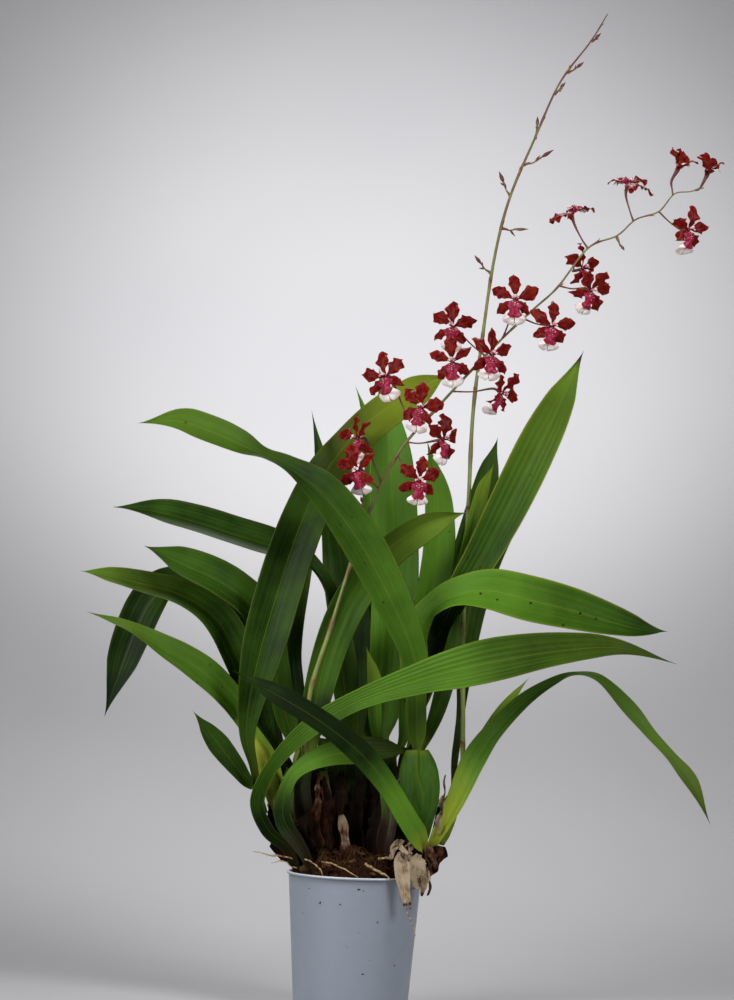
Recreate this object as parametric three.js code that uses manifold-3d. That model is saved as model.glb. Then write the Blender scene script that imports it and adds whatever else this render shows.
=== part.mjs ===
// A potted oncidium orchid: a round plastic pot, its bark mix, eight pseudobulbs and the rhizome that joins
// them, strap leaves, two flower spikes and the flowers. Millimetres, +Z up. The origin is the centre of
// the pot's flat base, and -Y is the plant's front.
import * as THREE from "three";
import { mergeVertices } from "three/addons/utils/BufferGeometryUtils.js";
import Module from "manifold-3d";

// Driving dimensions.
const POT_HEIGHT = 122;
const POT_RIM_RADIUS = 60;
const POT_BASE_RADIUS = 49;
const POT_RIM_LIP = 1.8; // how far the rim stands out past the wall
const POT_RIM_HEIGHT = 2.4;
const POT_WALL = 1.4;
const POT_FLOOR = 2.2;
const POT_EDGE = 0.8; // bevel between wall and base
const RIM_UNDER_BEVEL = 0.4;
const RIM_TOP_BEVEL = [0.6, 0.5]; // its width and its height
const POT_FACETS = 40;
const MIX_GAP = 0.4; // clearance between the bark mix and the pot
const MIX_EDGE_DROP = 5; // how far the bark mix lies below the rim at the wall
const MIX_MOUND = 25; // how far it heaps up above that in the middle
const MOUND_RADII = [1, 0.94, 0.85, 0.7, 0.5, 0.25]; // the mound's rings, as shares of its edge's radius
const SEAT_GAP = 0.35; // clearance where a grown piece meets what carries it
const BLUNT_END = 1.6; // length of the blunt point that closes the foot of a grown piece
const LEAF_THICKNESS = 1.3;
const LEAF_FOLD = 16; // degrees that each half of a blade rises from flat
const LEAF_RINGS = 12;
const BRACT_RINGS = 6;
const BULB_RINGS = 8;
const BULB_SIDES = 8;
const STEM_SIDES = 6;
const STEM_RINGS_PER_ROW = 1.5;
const TWIG_SIDES = 4;
const TWIG_WIDTHS = [1.4, 1.2]; // at the stem and at the bud
const BUD_END_WIDTHS = [1, 0.6]; // at its foot and at its tip
const BUD_BELLY = 0.4; // where a bud is widest, as a share of its length
const TEPAL_THICKNESS = 1.2;
const TEPAL_FOLD = 12; // degrees that each half of a tepal rises from flat
const TEPAL_RINGS = 3;
const TEPAL_OUTLINE = [[0.08, 0.4], [0.55, 1], [1, 0]]; // shares of its length and of its width
const OPEN = 86; // degrees that a flower's tepals have opened away from straight ahead
const HALF_OPEN = 38;
const LIP_ARCH = -8; // the lip's halves fall away from its midline
const LIP_RINGS = 5;
const COLUMN_RINGS = 2;
const PEDICEL_WIDTH = 1.8;
const PEDICEL_RINGS = 4;
const PEDICEL_SIDES = 4;
const STEM_SEARCH_STEPS = 400;
const PEDICEL_RISE = 9; // length of pedicel that runs straight back from the flower

const LEAF_GREEN = new THREE.MeshStandardMaterial({ color: 0x3f7a2c, roughness: 0.45, metalness: 0 });
const BULB_GREEN = new THREE.MeshStandardMaterial({ color: 0x6f8f3a, roughness: 0.5, metalness: 0 });
const DRY_HUSK = new THREE.MeshStandardMaterial({ color: 0x9a7a52, roughness: 0.9, metalness: 0 });
const STEM_OLIVE = new THREE.MeshStandardMaterial({ color: 0x7b8a4a, roughness: 0.6, metalness: 0 });
const TEPAL_MAROON = new THREE.MeshStandardMaterial({ color: 0x7d1420, roughness: 0.5, metalness: 0 });
const POT_BLUE_GREY = new THREE.MeshStandardMaterial({ color: 0x8d98a8, roughness: 0.4, metalness: 0 });
const BARK_BROWN = new THREE.MeshStandardMaterial({ color: 0x3a261a, roughness: 0.95, metalness: 0 });

const FRONT = new THREE.Vector3(0, -1, 0);

// Rhizome and bulb routes run from the foot to the top: [x, y, z, width, depth]. The first row aims into
// what carries the piece, so the foot ends just clear of it.
const RHIZOME = [
  [6, 4, 110, 8, 8], [12, 0, 150, 15, 13], [32, -6, 151, 15, 14], [52, -14, 143, 16, 15],
  [68, -13, 141, 16, 15], [79, -11, 144, 9, 8],
];
const BULBS = {
  bulb_left_yellow: { on: "growing_medium", material: BULB_GREEN, route: [
    [-42, -8, 110, 6, 6], [-52, -9, 145, 13, 11], [-65, -9, 170, 17, 13], [-77, -9, 196, 15, 13],
    [-86, -10, 218, 15, 12], [-93, -10, 235, 7, 6],
  ] },
  bulb_left_inner: { on: "growing_medium", material: BULB_GREEN, route: [
    [-36, 8, 110, 6, 6], [-38, 7, 151, 24, 17], [-45, 4, 180, 26, 18], [-51, 4, 212, 18, 14],
    [-54, 4, 230, 7, 7],
  ] },
  bulb_dry_brown: { on: "growing_medium", material: DRY_HUSK, route: [
    [-22, -20, 110, 8, 8], [-25, -19, 150, 14, 12], [-29, -18, 184, 15, 12], [-32, -18, 210, 8, 7],
  ] },
  bulb_back_left: { on: "growing_medium", material: BULB_GREEN, route: [
    [-6, 24, 110, 10, 10], [-6, 25, 150, 27, 20], [-5, 26, 190, 30, 20], [-5, 26, 222, 18, 14],
    [-4, 26, 238, 7, 7],
  ] },
  bulb_back_right: { on: "growing_medium", material: BULB_GREEN, route: [
    [20, 24, 110, 10, 10], [21, 28, 150, 22, 20], [22, 32, 190, 24, 20], [22, 34, 220, 16, 14],
    [23, 34, 237, 7, 7],
  ] },
  bulb_back_far_right: { on: "growing_medium", material: BULB_GREEN, route: [
    [34, 14, 110, 5, 5], [40, 16, 152, 14, 14], [44, 14, 195, 16, 16], [48, 14, 240, 12, 12],
    [51, 14, 268, 6, 6],
  ] },
  bulb_front_right: { on: "rhizome", material: BULB_GREEN, route: [
    [58, -12, 141, 4, 4], [59, -21, 165, 18, 10], [56, -26, 190, 34, 15], [52, -26, 215, 30, 13],
    [50, -26, 233, 10, 8],
  ] },
  bulb_right: { on: "rhizome", material: BULB_GREEN, route: [
    [70, -12, 140, 8, 8], [74, -11, 160, 14, 11], [78, -10, 176, 15, 10], [81, -9, 192, 9, 7],
  ] },
  dry_sheath: { on: "growing_medium", material: DRY_HUSK, route: [
    [-8, -26, 110, 5, 5], [-9, -27, 146, 9, 5], [-11, -28, 160, 9, 4], [-14, -29, 174, 4, 3],
  ] },
};

// The papery bract that hangs over the rim from the rhizome: [x, y, z, blade width, turn].
const DRY_BRACT = [
  [50, -14, 143, 7, 0], [46, -30, 142, 10, 0], [40, -50, 138, 14, -10], [42, -57, 120, 13, 0],
  [46, -58, 100, 0, 0],
];

// Leaf routes run from the foot to the tip: [x, y, z, blade width, turn]. Turn is how many degrees the
// blade is rolled about its midrib away from facing the front. The first row aims into the carrier.
const LEAVES = {
  leaf_left_front_long: { on: "bulb_front_right", route: [
    [50, -26, 226, 9, 0], [49, -29, 250, 17, 0], [47, -34, 284, 18, 5], [41, -44, 324, 27, 10],
    [12, -60, 379, 38, 15], [-23, -76, 434, 40, 20], [-59, -90, 466, 30, 40], [-84, -97, 478, 16, 60],
    [-104, -103, 487, 24, 35], [-132, -109, 498, 27, 25], [-163, -116, 507, 24, 20],
    [-198, -124, 503, 0, 20],
  ] },
  leaf_left_high_arch: { on: "bulb_back_left", route: [
    [-5, 26, 226, 8, 0], [-10, 20, 250, 14, 0], [-15, 10, 281, 26, 20], [-24, 4, 334, 28, 50],
    [-39, 2, 379, 28, 72], [-59, 2, 398, 30, 60], [-86, 4, 407, 34, 42], [-127, 8, 418, 34, 40],
    [-180, 14, 432, 30, 38], [-227, 22, 435, 0, 38],
  ] },
  leaf_left_middle_arch: { on: "bulb_left_inner", route: [
    [-53, 3, 222, 8, 0], [-61, -2, 242, 14, 0], [-69, -6, 266, 24, 20], [-79, -10, 306, 30, 40],
    [-96, -14, 349, 36, 30], [-123, -18, 371, 36, 30], [-163, -22, 388, 32, 35], [-195, -24, 401, 0, 40],
  ] },
  leaf_left_bright_arch: { on: "bulb_left_yellow", route: [
    [-91, -10, 226, 7, 0], [-102, -9, 250, 15, 10], [-113, -14, 269, 24, 15], [-140, -26, 294, 28, 20],
    [-176, -42, 315, 22, 35], [-207, -56, 331, 14, 55], [-239, -68, 342, 0, 40],
  ] },
  leaf_left_low_arch: { on: "bulb_left_inner", route: [
    [-47, 5, 188, 6, 30], [-72, 7, 213, 11, 30], [-84, 6, 244, 20, 20], [-102, 2, 289, 30, 20],
    [-125, -2, 334, 34, 25], [-154, -6, 357, 30, 35], [-194, -10, 368, 24, 35], [-226, -14, 374, 18, 40],
    [-250, -16, 377, 0, 40],
  ] },
  leaf_left_hanging: { on: "bulb_left_inner", route: [
    [-47, 7, 194, 6, 30], [-72, 20, 226, 13, 30], [-88, 32, 274, 24, 40], [-115, 42, 330, 32, 50],
    [-143, 50, 363, 36, 55], [-170, 54, 372, 38, 50], [-195, 54, 349, 38, 20], [-214, 52, 299, 32, 10],
    [-229, 48, 248, 0, 10],
  ] },
  leaf_left_tall: { on: "bulb_left_yellow", route: [
    [-80, -9, 200, 4, 20], [-97, -27, 222, 9, 25], [-98, -34, 262, 24, 30], [-88, -36, 319, 40, 15],
    [-71, -32, 385, 42, 5], [-48, -24, 454, 40, 10], [-21, -10, 497, 36, 20], [8, 4, 527, 34, 15],
    [41, 12, 550, 30, 10], [65, 16, 564, 0, 10],
  ] },
  leaf_left_short: { on: "bulb_left_yellow", route: [
    [-78, -9, 196, 6, 20], [-94, -12, 196, 9, 15], [-106, -20, 210, 16, 10], [-124, -26, 232, 20, 5],
    [-146, -34, 259, 0, 5],
  ] },
  leaf_back_grey: { on: "bulb_back_left", route: [
    [-4, 26, 226, 5, 0], [-3, 37, 250, 15, 0], [-7, 46, 281, 28, 0], [-11, 60, 325, 38, 0],
    [-20, 76, 378, 40, 10], [-31, 92, 433, 34, 30], [-45, 106, 483, 16, 35], [-56, 120, 533, 0, 30],
  ] },
  leaf_left_inner_upright: { on: "bulb_left_inner", route: [
    [-53, 5, 222, 7, 0], [-54, 10, 244, 12, 0], [-59, 10, 268, 20, 10], [-66, 12, 306, 24, 30],
    [-66, 20, 350, 30, 40], [-60, 30, 403, 26, 30], [-56, 42, 448, 0, 30],
  ] },
  leaf_front_dark: { on: "rhizome", route: [
    [60, -16, 142, 6, 20], [53, -36, 158, 19, 20], [45, -46, 170, 20, 15], [27, -62, 199, 19, 10],
    [2, -82, 229, 22, 10], [-33, -100, 256, 20, 15], [-73, -116, 279, 19, 20], [-110, -128, 298, 0, 20],
  ] },
  leaf_right_pleated: { on: "growing_medium", route: [
    [-42, -16, 110, 8, -30], [-59, -19, 143, 13, -30], [-77, -21, 158, 14, -30], [-87, -22, 184, 14, -20],
    [-72, -34, 218, 14, -20], [-42, -50, 249, 20, -30], [-1, -66, 275, 20, -30], [49, -80, 295, 30, -20],
    [84, -89, 306, 38, -15], [118, -96, 315, 36, -20], [167, -104, 325, 21, -35], [217, -108, 329, 7, -50],
    [266, -110, 317, 0, -50],
  ] },
  leaf_low_crossing: { on: "growing_medium", route: [
    [-30, -27, 110, 8, -20], [-46, -31, 143, 13, -20], [-62, -32, 164, 16, -20], [-65, -33, 183, 14, -15],
    [-56, -36, 208, 13, -15], [-32, -40, 224, 21, -20], [0, -38, 230, 26, -20], [26, -30, 232, 17, -25],
    [44, -22, 229, 0, -20],
  ] },
  leaf_right_spotted: { on: "bulb_back_far_right", route: [
    [51, 13, 260, 8, 0], [47, 4, 284, 16, 0], [45, -2, 310, 26, -10], [48, -10, 339, 28, -35],
    [63, -20, 361, 26, -50], [95, -30, 374, 36, -15], [143, -40, 367, 42, -10],
    [194, -50, 356, 36, -15], [238, -56, 345, 20, -30], [261, -60, 344, 0, -30],
  ] },
  leaf_right_arching: { on: "bulb_right", route: [
    [80, -9, 184, 8, 0], [86, -17, 208, 17, -10], [103, -22, 232, 19, -20], [131, -28, 269, 17, -25],
    [162, -34, 293, 14, -50], [184, -42, 304, 7, -75], [209, -50, 298, 13, -45], [239, -58, 266, 15, -20],
    [260, -62, 244, 8, -30], [283, -66, 219, 17, -20], [303, -68, 180, 0, -20],
  ] },
  leaf_right_small: { on: "bulb_right", route: [
    [80, -9, 184, 5, 0], [94, -4, 217, 8, -10], [109, -2, 246, 10, -20], [127, 0, 273, 10, -30],
    [147, 4, 299, 0, -30],
  ] },
  leaf_right_tall: { on: "bulb_back_far_right", route: [
    [51, 13, 260, 8, 0], [58, 8, 290, 14, 0], [62, 6, 319, 18, -10], [76, 2, 359, 23, -10],
    [99, -2, 400, 31, -10], [125, -6, 454, 38, -10], [147, -10, 503, 38, -15], [166, -12, 545, 29, -20],
    [183, -14, 587, 0, -20],
  ] },
  leaf_right_tall_back: { on: "bulb_right", route: [
    [78, -9, 180, 4, 30], [82, 16, 206, 8, 40], [85, 28, 240, 10, 50], [88, 38, 276, 14, 40],
    [91, 44, 334, 24, 25], [103, 52, 397, 32, 20], [129, 60, 456, 30, 15], [156, 66, 507, 24, 20],
    [183, 72, 560, 0, 20],
  ] },
  leaf_back_grey_tip: { on: "bulb_back_far_right", route: [
    [50, 14, 256, 5, 0], [58, 35, 284, 12, 0], [69, 48, 328, 25, 0], [88, 66, 387, 34, 0],
    [99, 80, 437, 32, 10], [106, 92, 479, 22, 20], [115, 104, 514, 0, 20],
  ] },
  leaf_back_pale_tip: { on: "bulb_back_far_right", route: [
    [51, 14, 260, 6, 0], [58, 19, 288, 12, 0], [67, 15, 328, 15, 0], [84, 9, 382, 17, 10],
    [94, 8, 436, 15, 10], [100, 8, 464, 12, 10], [109, 8, 486, 0, 10],
  ] },
  leaf_back_centre: { on: "bulb_back_right", route: [
    [23, 34, 226, 8, 0], [21, 38, 250, 20, 0], [23, 40, 282, 36, 0], [25, 44, 327, 42, 5],
    [25, 50, 389, 44, 5], [21, 58, 452, 44, 5], [15, 66, 506, 36, 15], [4, 76, 572, 0, 20],
  ] },
  leaf_back_centre_left: { on: "bulb_back_left", route: [
    [-4, 27, 218, 8, 0], [5, 48, 246, 16, 0], [3, 64, 290, 24, 0], [4, 82, 361, 28, 0],
    [6, 100, 434, 28, 0], [3, 116, 498, 20, 10], [-17, 128, 558, 0, 20],
  ] },
  leaf_back_centre_right: { on: "bulb_back_right", route: [
    [23, 33, 206, 3, 0], [38, 24, 240, 9, 0], [41, 22, 294, 20, 0], [57, 22, 363, 28, 0],
    [63, 20, 408, 30, 5], [60, 20, 457, 24, 10], [49, 20, 505, 0, 15],
  ] },
  leaf_centre_bright: { on: "bulb_left_inner", route: [
    [-49, 4, 204, 7, 0], [-44, -10, 236, 16, 0], [-40, -12, 272, 26, 10], [-29, -16, 321, 32, 15],
    [-12, -20, 364, 34, 20], [16, -24, 403, 34, 30], [54, -30, 431, 28, 30], [85, -36, 441, 0, 30],
  ] },
  leaf_centre_young: { on: "bulb_back_right", route: [
    [22, 32, 218, 5, 20], [14, 16, 244, 10, 20], [11, 8, 268, 14, 20], [10, 6, 291, 14, 20],
    [2, 4, 321, 0, 20],
  ] },
  leaf_right_neck: { on: "bulb_front_right", route: [
    [51, -26, 226, 6, 0], [60, -22, 248, 10, 0], [67, -17, 270, 15, 10], [74, -13, 303, 17, 20],
    [79, -11, 332, 14, 20], [82, -10, 354, 0, 20],
  ] },
};

// Spike routes run from the foot to the tip: [x, y, z, stem width]. Twigs are straight, from a point in
// the stem to their end, with the length and width of the closed bud they carry.
const SPIKES = {
  spike_in_bud: {
    on: "rhizome",
    route: [
      [72, -11, 141, 3], [82, 5, 166, 4.2], [90, 4, 205, 4.4], [90, 0, 250, 4.6], [88, 4, 300, 4.6],
      [87, 13, 352, 4.6], [88, 20, 449, 4.2], [89, 23, 530, 3.8], [95, 26, 599, 3.4],
      [103, 34, 669, 3], [115, 42, 725, 2.8], [136, 50, 781, 2.4], [157, 58, 833, 2],
      [184, 66, 873, 1.6], [199, 74, 900, 1],
    ],
    twigs: [
      { from: [101, 31, 655], to: [91, 30, 665], bud: [9, 3] },
      { from: [109, 37, 698], to: [121, 36, 697], bud: [12, 3] },
      { from: [115, 42, 725], to: [109, 43, 740], bud: [11, 4] },
      { from: [126, 46, 757], to: [143, 44, 764], bud: [14, 4] },
      { from: [136, 50, 781], to: [138, 54, 793], bud: [9, 4] },
      { from: [153, 56, 822], to: [160, 60, 832], bud: [9, 4] },
      { from: [165, 61, 844], to: [179, 58, 853], bud: [10, 4] },
      { from: [184, 66, 873], to: [195, 68, 880], bud: [9, 3] },
    ],
  },
  spike_in_flower: {
    on: "bulb_left_inner",
    route: [
      [-47, 4, 196, 3.4], [-46, -18, 214, 4.2], [-47, -26, 246, 4.6], [-45, -30, 280, 4.6],
      [-38, -34, 308, 4.6], [-30, -36, 334, 4.6], [-18, -36, 378, 4.4], [-2, -36, 432, 4.2],
      [23, -40, 489, 4], [58, -44, 533, 3.8], [86, -46, 566, 3.6], [114, -46, 597, 3.4],
      [138, -44, 621, 3.2], [157, -42, 640, 3], [182, -38, 675, 2.8], [207, -36, 687, 2.6],
      [223, -34, 702, 2.4], [243, -32, 710, 2.2], [256, -30, 726, 2], [270, -28, 729, 1.8],
      [282, -26, 733, 1.6],
    ],
    twigs: [
      { from: [207, -36, 687], to: [211, -37, 678], bud: [5, 2.4] },
      { from: [0, -36, 436], to: [-6, -44, 446], bud: [6, 3] },
    ],
  },
};

// Flowers: the middle of the face, the way it looks (yaw to the right, pitch upwards) and its lean (roll),
// in degrees, and the point in the stem of spike_in_flower that its pedicel leaves.
const FLOWERS = {
  flower_01: { at: [10, -36, 556], yaw: -35, pitch: 5, roll: -20, stem: [37, -42, 508], spread: OPEN },
  flower_02: { at: [-12, -38, 501], yaw: -50, pitch: 0, roll: -10, stem: [10, -38, 461], spread: OPEN },
  flower_03: { at: [-11, -62, 473], yaw: -25, pitch: -5, roll: -12, stem: [8, -38, 457], spread: OPEN },
  flower_04: { at: [41, -80, 528], yaw: -10, pitch: 5, roll: 8, stem: [34, -42, 504], spread: OPEN },
  flower_05: { at: [61, -56, 502], yaw: 50, pitch: 5, roll: 10, stem: [30, -41, 498], spread: OPEN },
  flower_06: { at: [42, -72, 466], yaw: 8, pitch: -6, roll: 2, stem: [23, -40, 489], spread: OPEN },
  flower_07: { at: [67, -26, 603], yaw: -20, pitch: 5, roll: 0, stem: [86, -46, 566], spread: OPEN },
  flower_08: { at: [67, -70, 569], yaw: -12, pitch: 5, roll: -5, stem: [82, -46, 561], spread: OPEN },
  flower_09: { at: [100, -88, 575], yaw: 15, pitch: 5, roll: 8, stem: [93, -46, 574], spread: OPEN },
  flower_10: { at: [110, -50, 545], yaw: 55, pitch: -25, roll: 20, stem: [66, -45, 543], spread: OPEN },
  flower_11: { at: [119, -70, 625], yaw: -5, pitch: 5, roll: 0, stem: [108, -46, 591], spread: OPEN },
  flower_12: { at: [151, -76, 603], yaw: 15, pitch: -5, roll: 8, stem: [128, -45, 611], spread: OPEN },
  flower_13: { at: [184, -62, 636], yaw: 35, pitch: -15, roll: 15, stem: [157, -42, 640], spread: OPEN },
  flower_14: { at: [179, -12, 659], yaw: 60, pitch: 10, roll: 0, stem: [170, -40, 656], spread: OPEN },
  flower_15: { at: [167, -36, 705], yaw: -40, pitch: 68, roll: 200, stem: [182, -38, 675], spread: OPEN },
  flower_16: { at: [215, -34, 732], yaw: 30, pitch: 72, roll: 150, stem: [221, -34, 700], spread: OPEN },
  flower_17: { at: [268, -42, 694], yaw: 40, pitch: -5, roll: 5, stem: [243, -32, 710], spread: OPEN },
  flower_half_open_1: { at: [257, -34, 745], yaw: 60, pitch: 60, roll: 0, stem: [255, -30, 725], spread: HALF_OPEN },
  flower_half_open_2: { at: [284, -22, 743], yaw: 60, pitch: 62, roll: 0, stem: [274, -28, 730], spread: HALF_OPEN },
};

// One flower, seen from its front: each tepal's bearing from straight up, its length and its width.
const TEPALS = [
  { bearing: 0, length: 21, width: 11 },
  { bearing: 62, length: 20, width: 12 },
  { bearing: 130, length: 18, width: 9 },
  { bearing: -130, length: 18, width: 9 },
  { bearing: -62, length: 20, width: 12 },
];
// The lip hangs below: [distance below the middle, distance in front of it, width].
const LIP = [[1, 1, 4], [6, 4, 8], [11, 5, 6], [15, 5, 12], [20, 4, 20], [25, 2, 0]];
const COLUMN = [[0, 0, 2, 3], [0, -8, 2.4, 1.8]]; // the column above the lip: [x, y, z, width]
const FLOWER_HEART_RADIUS = 3.4;

const wasm = await Module();
wasm.setup();

const point = (row) => new THREE.Vector3(row[0], row[1], row[2]);
const radians = THREE.MathUtils.degToRad;

// A closed surface through rings of corners, each ring counter-clockwise about the way ahead, closed by a
// single corner at each end. In rings of four, which are a blade's, every diagonal starts at an edge of the
// blade, so its upper and under faces bend alike and stay apart.
function loft(foot, rings, tip) {
  const sides = rings[0].length;
  const corners = [foot, ...rings.flat(), tip];
  const last = corners.length - 1;
  const corner = (ring, side) => 1 + ring * sides + (side % sides);
  const faces = [];
  for (let side = 0; side < sides; side += 1) {
    faces.push(0, corner(0, side + 1), corner(0, side));
    for (let ring = 0; ring + 1 < rings.length; ring += 1) {
      const [a, b] = [corner(ring, side), corner(ring, side + 1)];
      const [c, d] = [corner(ring + 1, side + 1), corner(ring + 1, side)];
      const fromEdge = sides !== 4 || side % 2 === 0;
      faces.push(...(fromEdge ? [a, b, c, a, c, d] : [a, b, d, b, c, d]));
    }
    faces.push(last, corner(rings.length - 1, side), corner(rings.length - 1, side + 1));
  }
  const geometry = new THREE.BufferGeometry().setFromPoints(corners);
  geometry.setIndex(faces);
  return geometry;
}

// Places along a smooth route: each has its middle, the way ahead, the route's own two columns of values,
// and the directions across it and towards the front.
function stations(route, count) {
  const middle = new THREE.CatmullRomCurve3(route.map(point));
  const values = new THREE.CatmullRomCurve3(route.map((row) => new THREE.Vector3(row[3], row[4] ?? 0, 0)));
  return Array.from({ length: count }, (_, index) => {
    const t = index / (count - 1);
    const ahead = middle.getTangent(t);
    const front = FRONT.clone().addScaledVector(ahead, -FRONT.dot(ahead)).normalize();
    const across = ahead.clone().cross(front);
    const [size, other] = values.getPoint(t).toArray();
    return { middle: middle.getPoint(t), ahead, front, across, size, other };
  });
}

const offset = (place, ...steps) =>
  steps.reduce((at, [direction, distance]) => at.addScaledVector(direction, distance), place.clone());

// A folded blade: each ring is two edges and the midrib's back and front, and turn rolls it.
function bladeGeometry(route, count, thickness, fold) {
  const places = stations(route, count + 1);
  const rings = places.slice(0, -1).map(({ middle, ahead, front, across, size, other }) => {
    const side = across.clone().applyAxisAngle(ahead, radians(other));
    const face = front.clone().applyAxisAngle(ahead, radians(other));
    const half = Math.max(size, 2 * thickness) / 2;
    const reach = half * Math.cos(radians(fold));
    const rise = (half * Math.sin(radians(fold))) / 2;
    return [
      offset(middle, [side, reach], [face, rise]),
      offset(middle, [face, -rise - thickness / 2]),
      offset(middle, [side, -reach], [face, rise]),
      offset(middle, [face, -rise + thickness / 2]),
    ];
  });
  const foot = offset(places[0].middle, [places[0].ahead, -BLUNT_END]);
  return loft(foot, rings, places.at(-1).middle);
}

// A solid stem or bulb: each ring is an ellipse, as wide and deep as the route's two values.
function stemGeometry(route, count, sides) {
  const places = stations(route, count);
  const rings = places.map(({ middle, front, across, size, other }) =>
    Array.from({ length: sides }, (_, side) => {
      const angle = (2 * Math.PI * side) / sides;
      const sideways = (Math.cos(angle) * size) / 2;
      const backwards = (Math.sin(angle) * (other || size)) / 2;
      return offset(middle, [across, sideways], [front, -backwards]);
    }),
  );
  const [first, final] = [places[0], places.at(-1)];
  const foot = offset(first.middle, [first.ahead, -BLUNT_END]);
  return loft(foot, rings, offset(final.middle, [final.ahead, Math.min(BLUNT_END, final.size)]));
}

// The route with its first row moved to where the piece meets the carrier, one gap clear of it.
function seated(route, carrier) {
  const [aim, next] = [point(route[0]), point(route[1])];
  const direction = aim.clone().sub(next).normalize();
  const hit = new THREE.Raycaster(next, direction).intersectObject(carrier)[0];
  const start = offset(hit.point, [direction, -SEAT_GAP - BLUNT_END]);
  return [[...start.toArray(), ...route[0].slice(3)], ...route.slice(1)];
}

function solid(geometry) {
  const bare = new THREE.BufferGeometry().setAttribute("position", geometry.getAttribute("position"));
  bare.setIndex(geometry.index);
  const merged = mergeVertices(bare);
  return new wasm.Manifold(
    new wasm.Mesh({
      numProp: 3,
      vertProperties: new Float32Array(merged.getAttribute("position").array),
      triVerts: new Uint32Array(merged.index.array),
    }),
  );
}

function joined(geometries) {
  const mesh = geometries.map(solid).reduce((whole, piece) => whole.add(piece)).getMesh();
  const geometry = new THREE.BufferGeometry();
  geometry.setAttribute("position", new THREE.BufferAttribute(mesh.vertProperties, 3));
  geometry.setIndex(new THREE.BufferAttribute(mesh.triVerts, 1));
  return geometry;
}

// A closed bud at the end of a straight twig from a point inside the stem.
function twigGeometries({ from, to, bud: [length, width] }, stemRoute) {
  const [start, end] = [onMiddleLine(point(from), stemRoute), point(to)];
  const ahead = end.clone().sub(start).normalize();
  const heel = offset(end, [ahead, -1]);
  const belly = offset(end, [ahead, length * BUD_BELLY]);
  const nose = offset(end, [ahead, length]);
  const withWidths = (places, widths) => places.map((place, index) => [...place.toArray(), widths[index]]);
  const stalk = withWidths([start, end], TWIG_WIDTHS);
  const bud = withWidths([heel, belly, nose], [BUD_END_WIDTHS[0], width, BUD_END_WIDTHS[1]]);
  return [stalk, bud].map((route) => stemGeometry(route, route.length, TWIG_SIDES));
}

// A flower about its own middle, looking along -Y with its dorsal sepal up.
function faceGeometries(spread) {
  const heart = new THREE.OctahedronGeometry(FLOWER_HEART_RADIUS, 0);
  const tepals = TEPALS.map(({ bearing, length, width }) => {
    const radial = new THREE.Vector3(0, 0, 1).applyAxisAngle(new THREE.Vector3(0, 1, 0), radians(bearing));
    const opening = [[radial, Math.sin(radians(spread))], [FRONT, Math.cos(radians(spread))]];
    const ahead = offset(new THREE.Vector3(), ...opening);
    const route = TEPAL_OUTLINE.map(([along, wide]) => [
      ...ahead.clone().multiplyScalar(along * length).toArray(), wide * width, 0,
    ]);
    return bladeGeometry(route, TEPAL_RINGS, TEPAL_THICKNESS, TEPAL_FOLD);
  });
  const flat = (rows) => rows.map(([below, ahead, width]) => [0, -ahead, -below, width, 0]);
  const lip = bladeGeometry(flat(LIP), LIP_RINGS, TEPAL_THICKNESS, LIP_ARCH);
  const column = stemGeometry(COLUMN, COLUMN_RINGS, PEDICEL_SIDES);
  return [heart, ...tepals, lip, column];
}

// The point of a stem's own middle line that lies nearest to a place.
function onMiddleLine(place, route) {
  const line = new THREE.CatmullRomCurve3(route.map(point)).getPoints(STEM_SEARCH_STEPS);
  return line.reduce((best, here) => (here.distanceTo(place) < best.distanceTo(place) ? here : best));
}

function flowerGeometry({ at, yaw, pitch, roll, stem, spread }, carrier, carrierRoute) {
  const pose = new THREE.Matrix4()
    .makeTranslation(...at)
    .multiply(new THREE.Matrix4().makeRotationZ(radians(yaw)))
    .multiply(new THREE.Matrix4().makeRotationX(radians(-pitch)))
    .multiply(new THREE.Matrix4().makeRotationY(radians(roll)));
  const face = faceGeometries(spread).map((geometry) => geometry.applyMatrix4(pose));
  const back = new THREE.Vector3(0, 1, 0).transformDirection(pose);
  const [middle, root] = [point(at), onMiddleLine(point(stem), carrierRoute)];
  const bend = offset(middle, [back, PEDICEL_RISE]);
  const between = bend.clone().lerp(root, 0.5);
  const route = [root, between, bend, middle].map((place) => [...place.toArray(), PEDICEL_WIDTH]);
  return joined([...face, stemGeometry(seated(route, carrier), PEDICEL_RINGS, PEDICEL_SIDES)]);
}

function potGeometry() {
  const top = POT_RIM_RADIUS - POT_RIM_LIP;
  const underRim = POT_HEIGHT - POT_RIM_HEIGHT;
  const [bevelWidth, bevelHeight] = RIM_TOP_BEVEL;
  return lathed([
    [0, 0], [POT_BASE_RADIUS - POT_EDGE, 0], [POT_BASE_RADIUS, POT_EDGE],
    [top, underRim], [POT_RIM_RADIUS, underRim + RIM_UNDER_BEVEL], [POT_RIM_RADIUS, POT_HEIGHT - bevelHeight],
    [POT_RIM_RADIUS - bevelWidth, POT_HEIGHT], [top - POT_WALL, POT_HEIGHT],
    [POT_BASE_RADIUS - POT_WALL, POT_FLOOR], [0, POT_FLOOR],
  ]);
}

function mixGeometry() {
  const floor = POT_FLOOR + MIX_GAP;
  const edge = POT_HEIGHT - MIX_EDGE_DROP;
  const bottomRadius = POT_BASE_RADIUS - POT_WALL - MIX_GAP;
  const slope = (POT_RIM_RADIUS - POT_RIM_LIP - POT_BASE_RADIUS) / (POT_HEIGHT - POT_FLOOR);
  const edgeRadius = bottomRadius + slope * (edge - floor);
  const mound = MOUND_RADII.map((share) => [share * edgeRadius, edge + MIX_MOUND * (1 - share ** 4)]);
  return lathed([[0, floor], [bottomRadius, floor], ...mound, [0, edge + MIX_MOUND]]);
}

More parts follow.
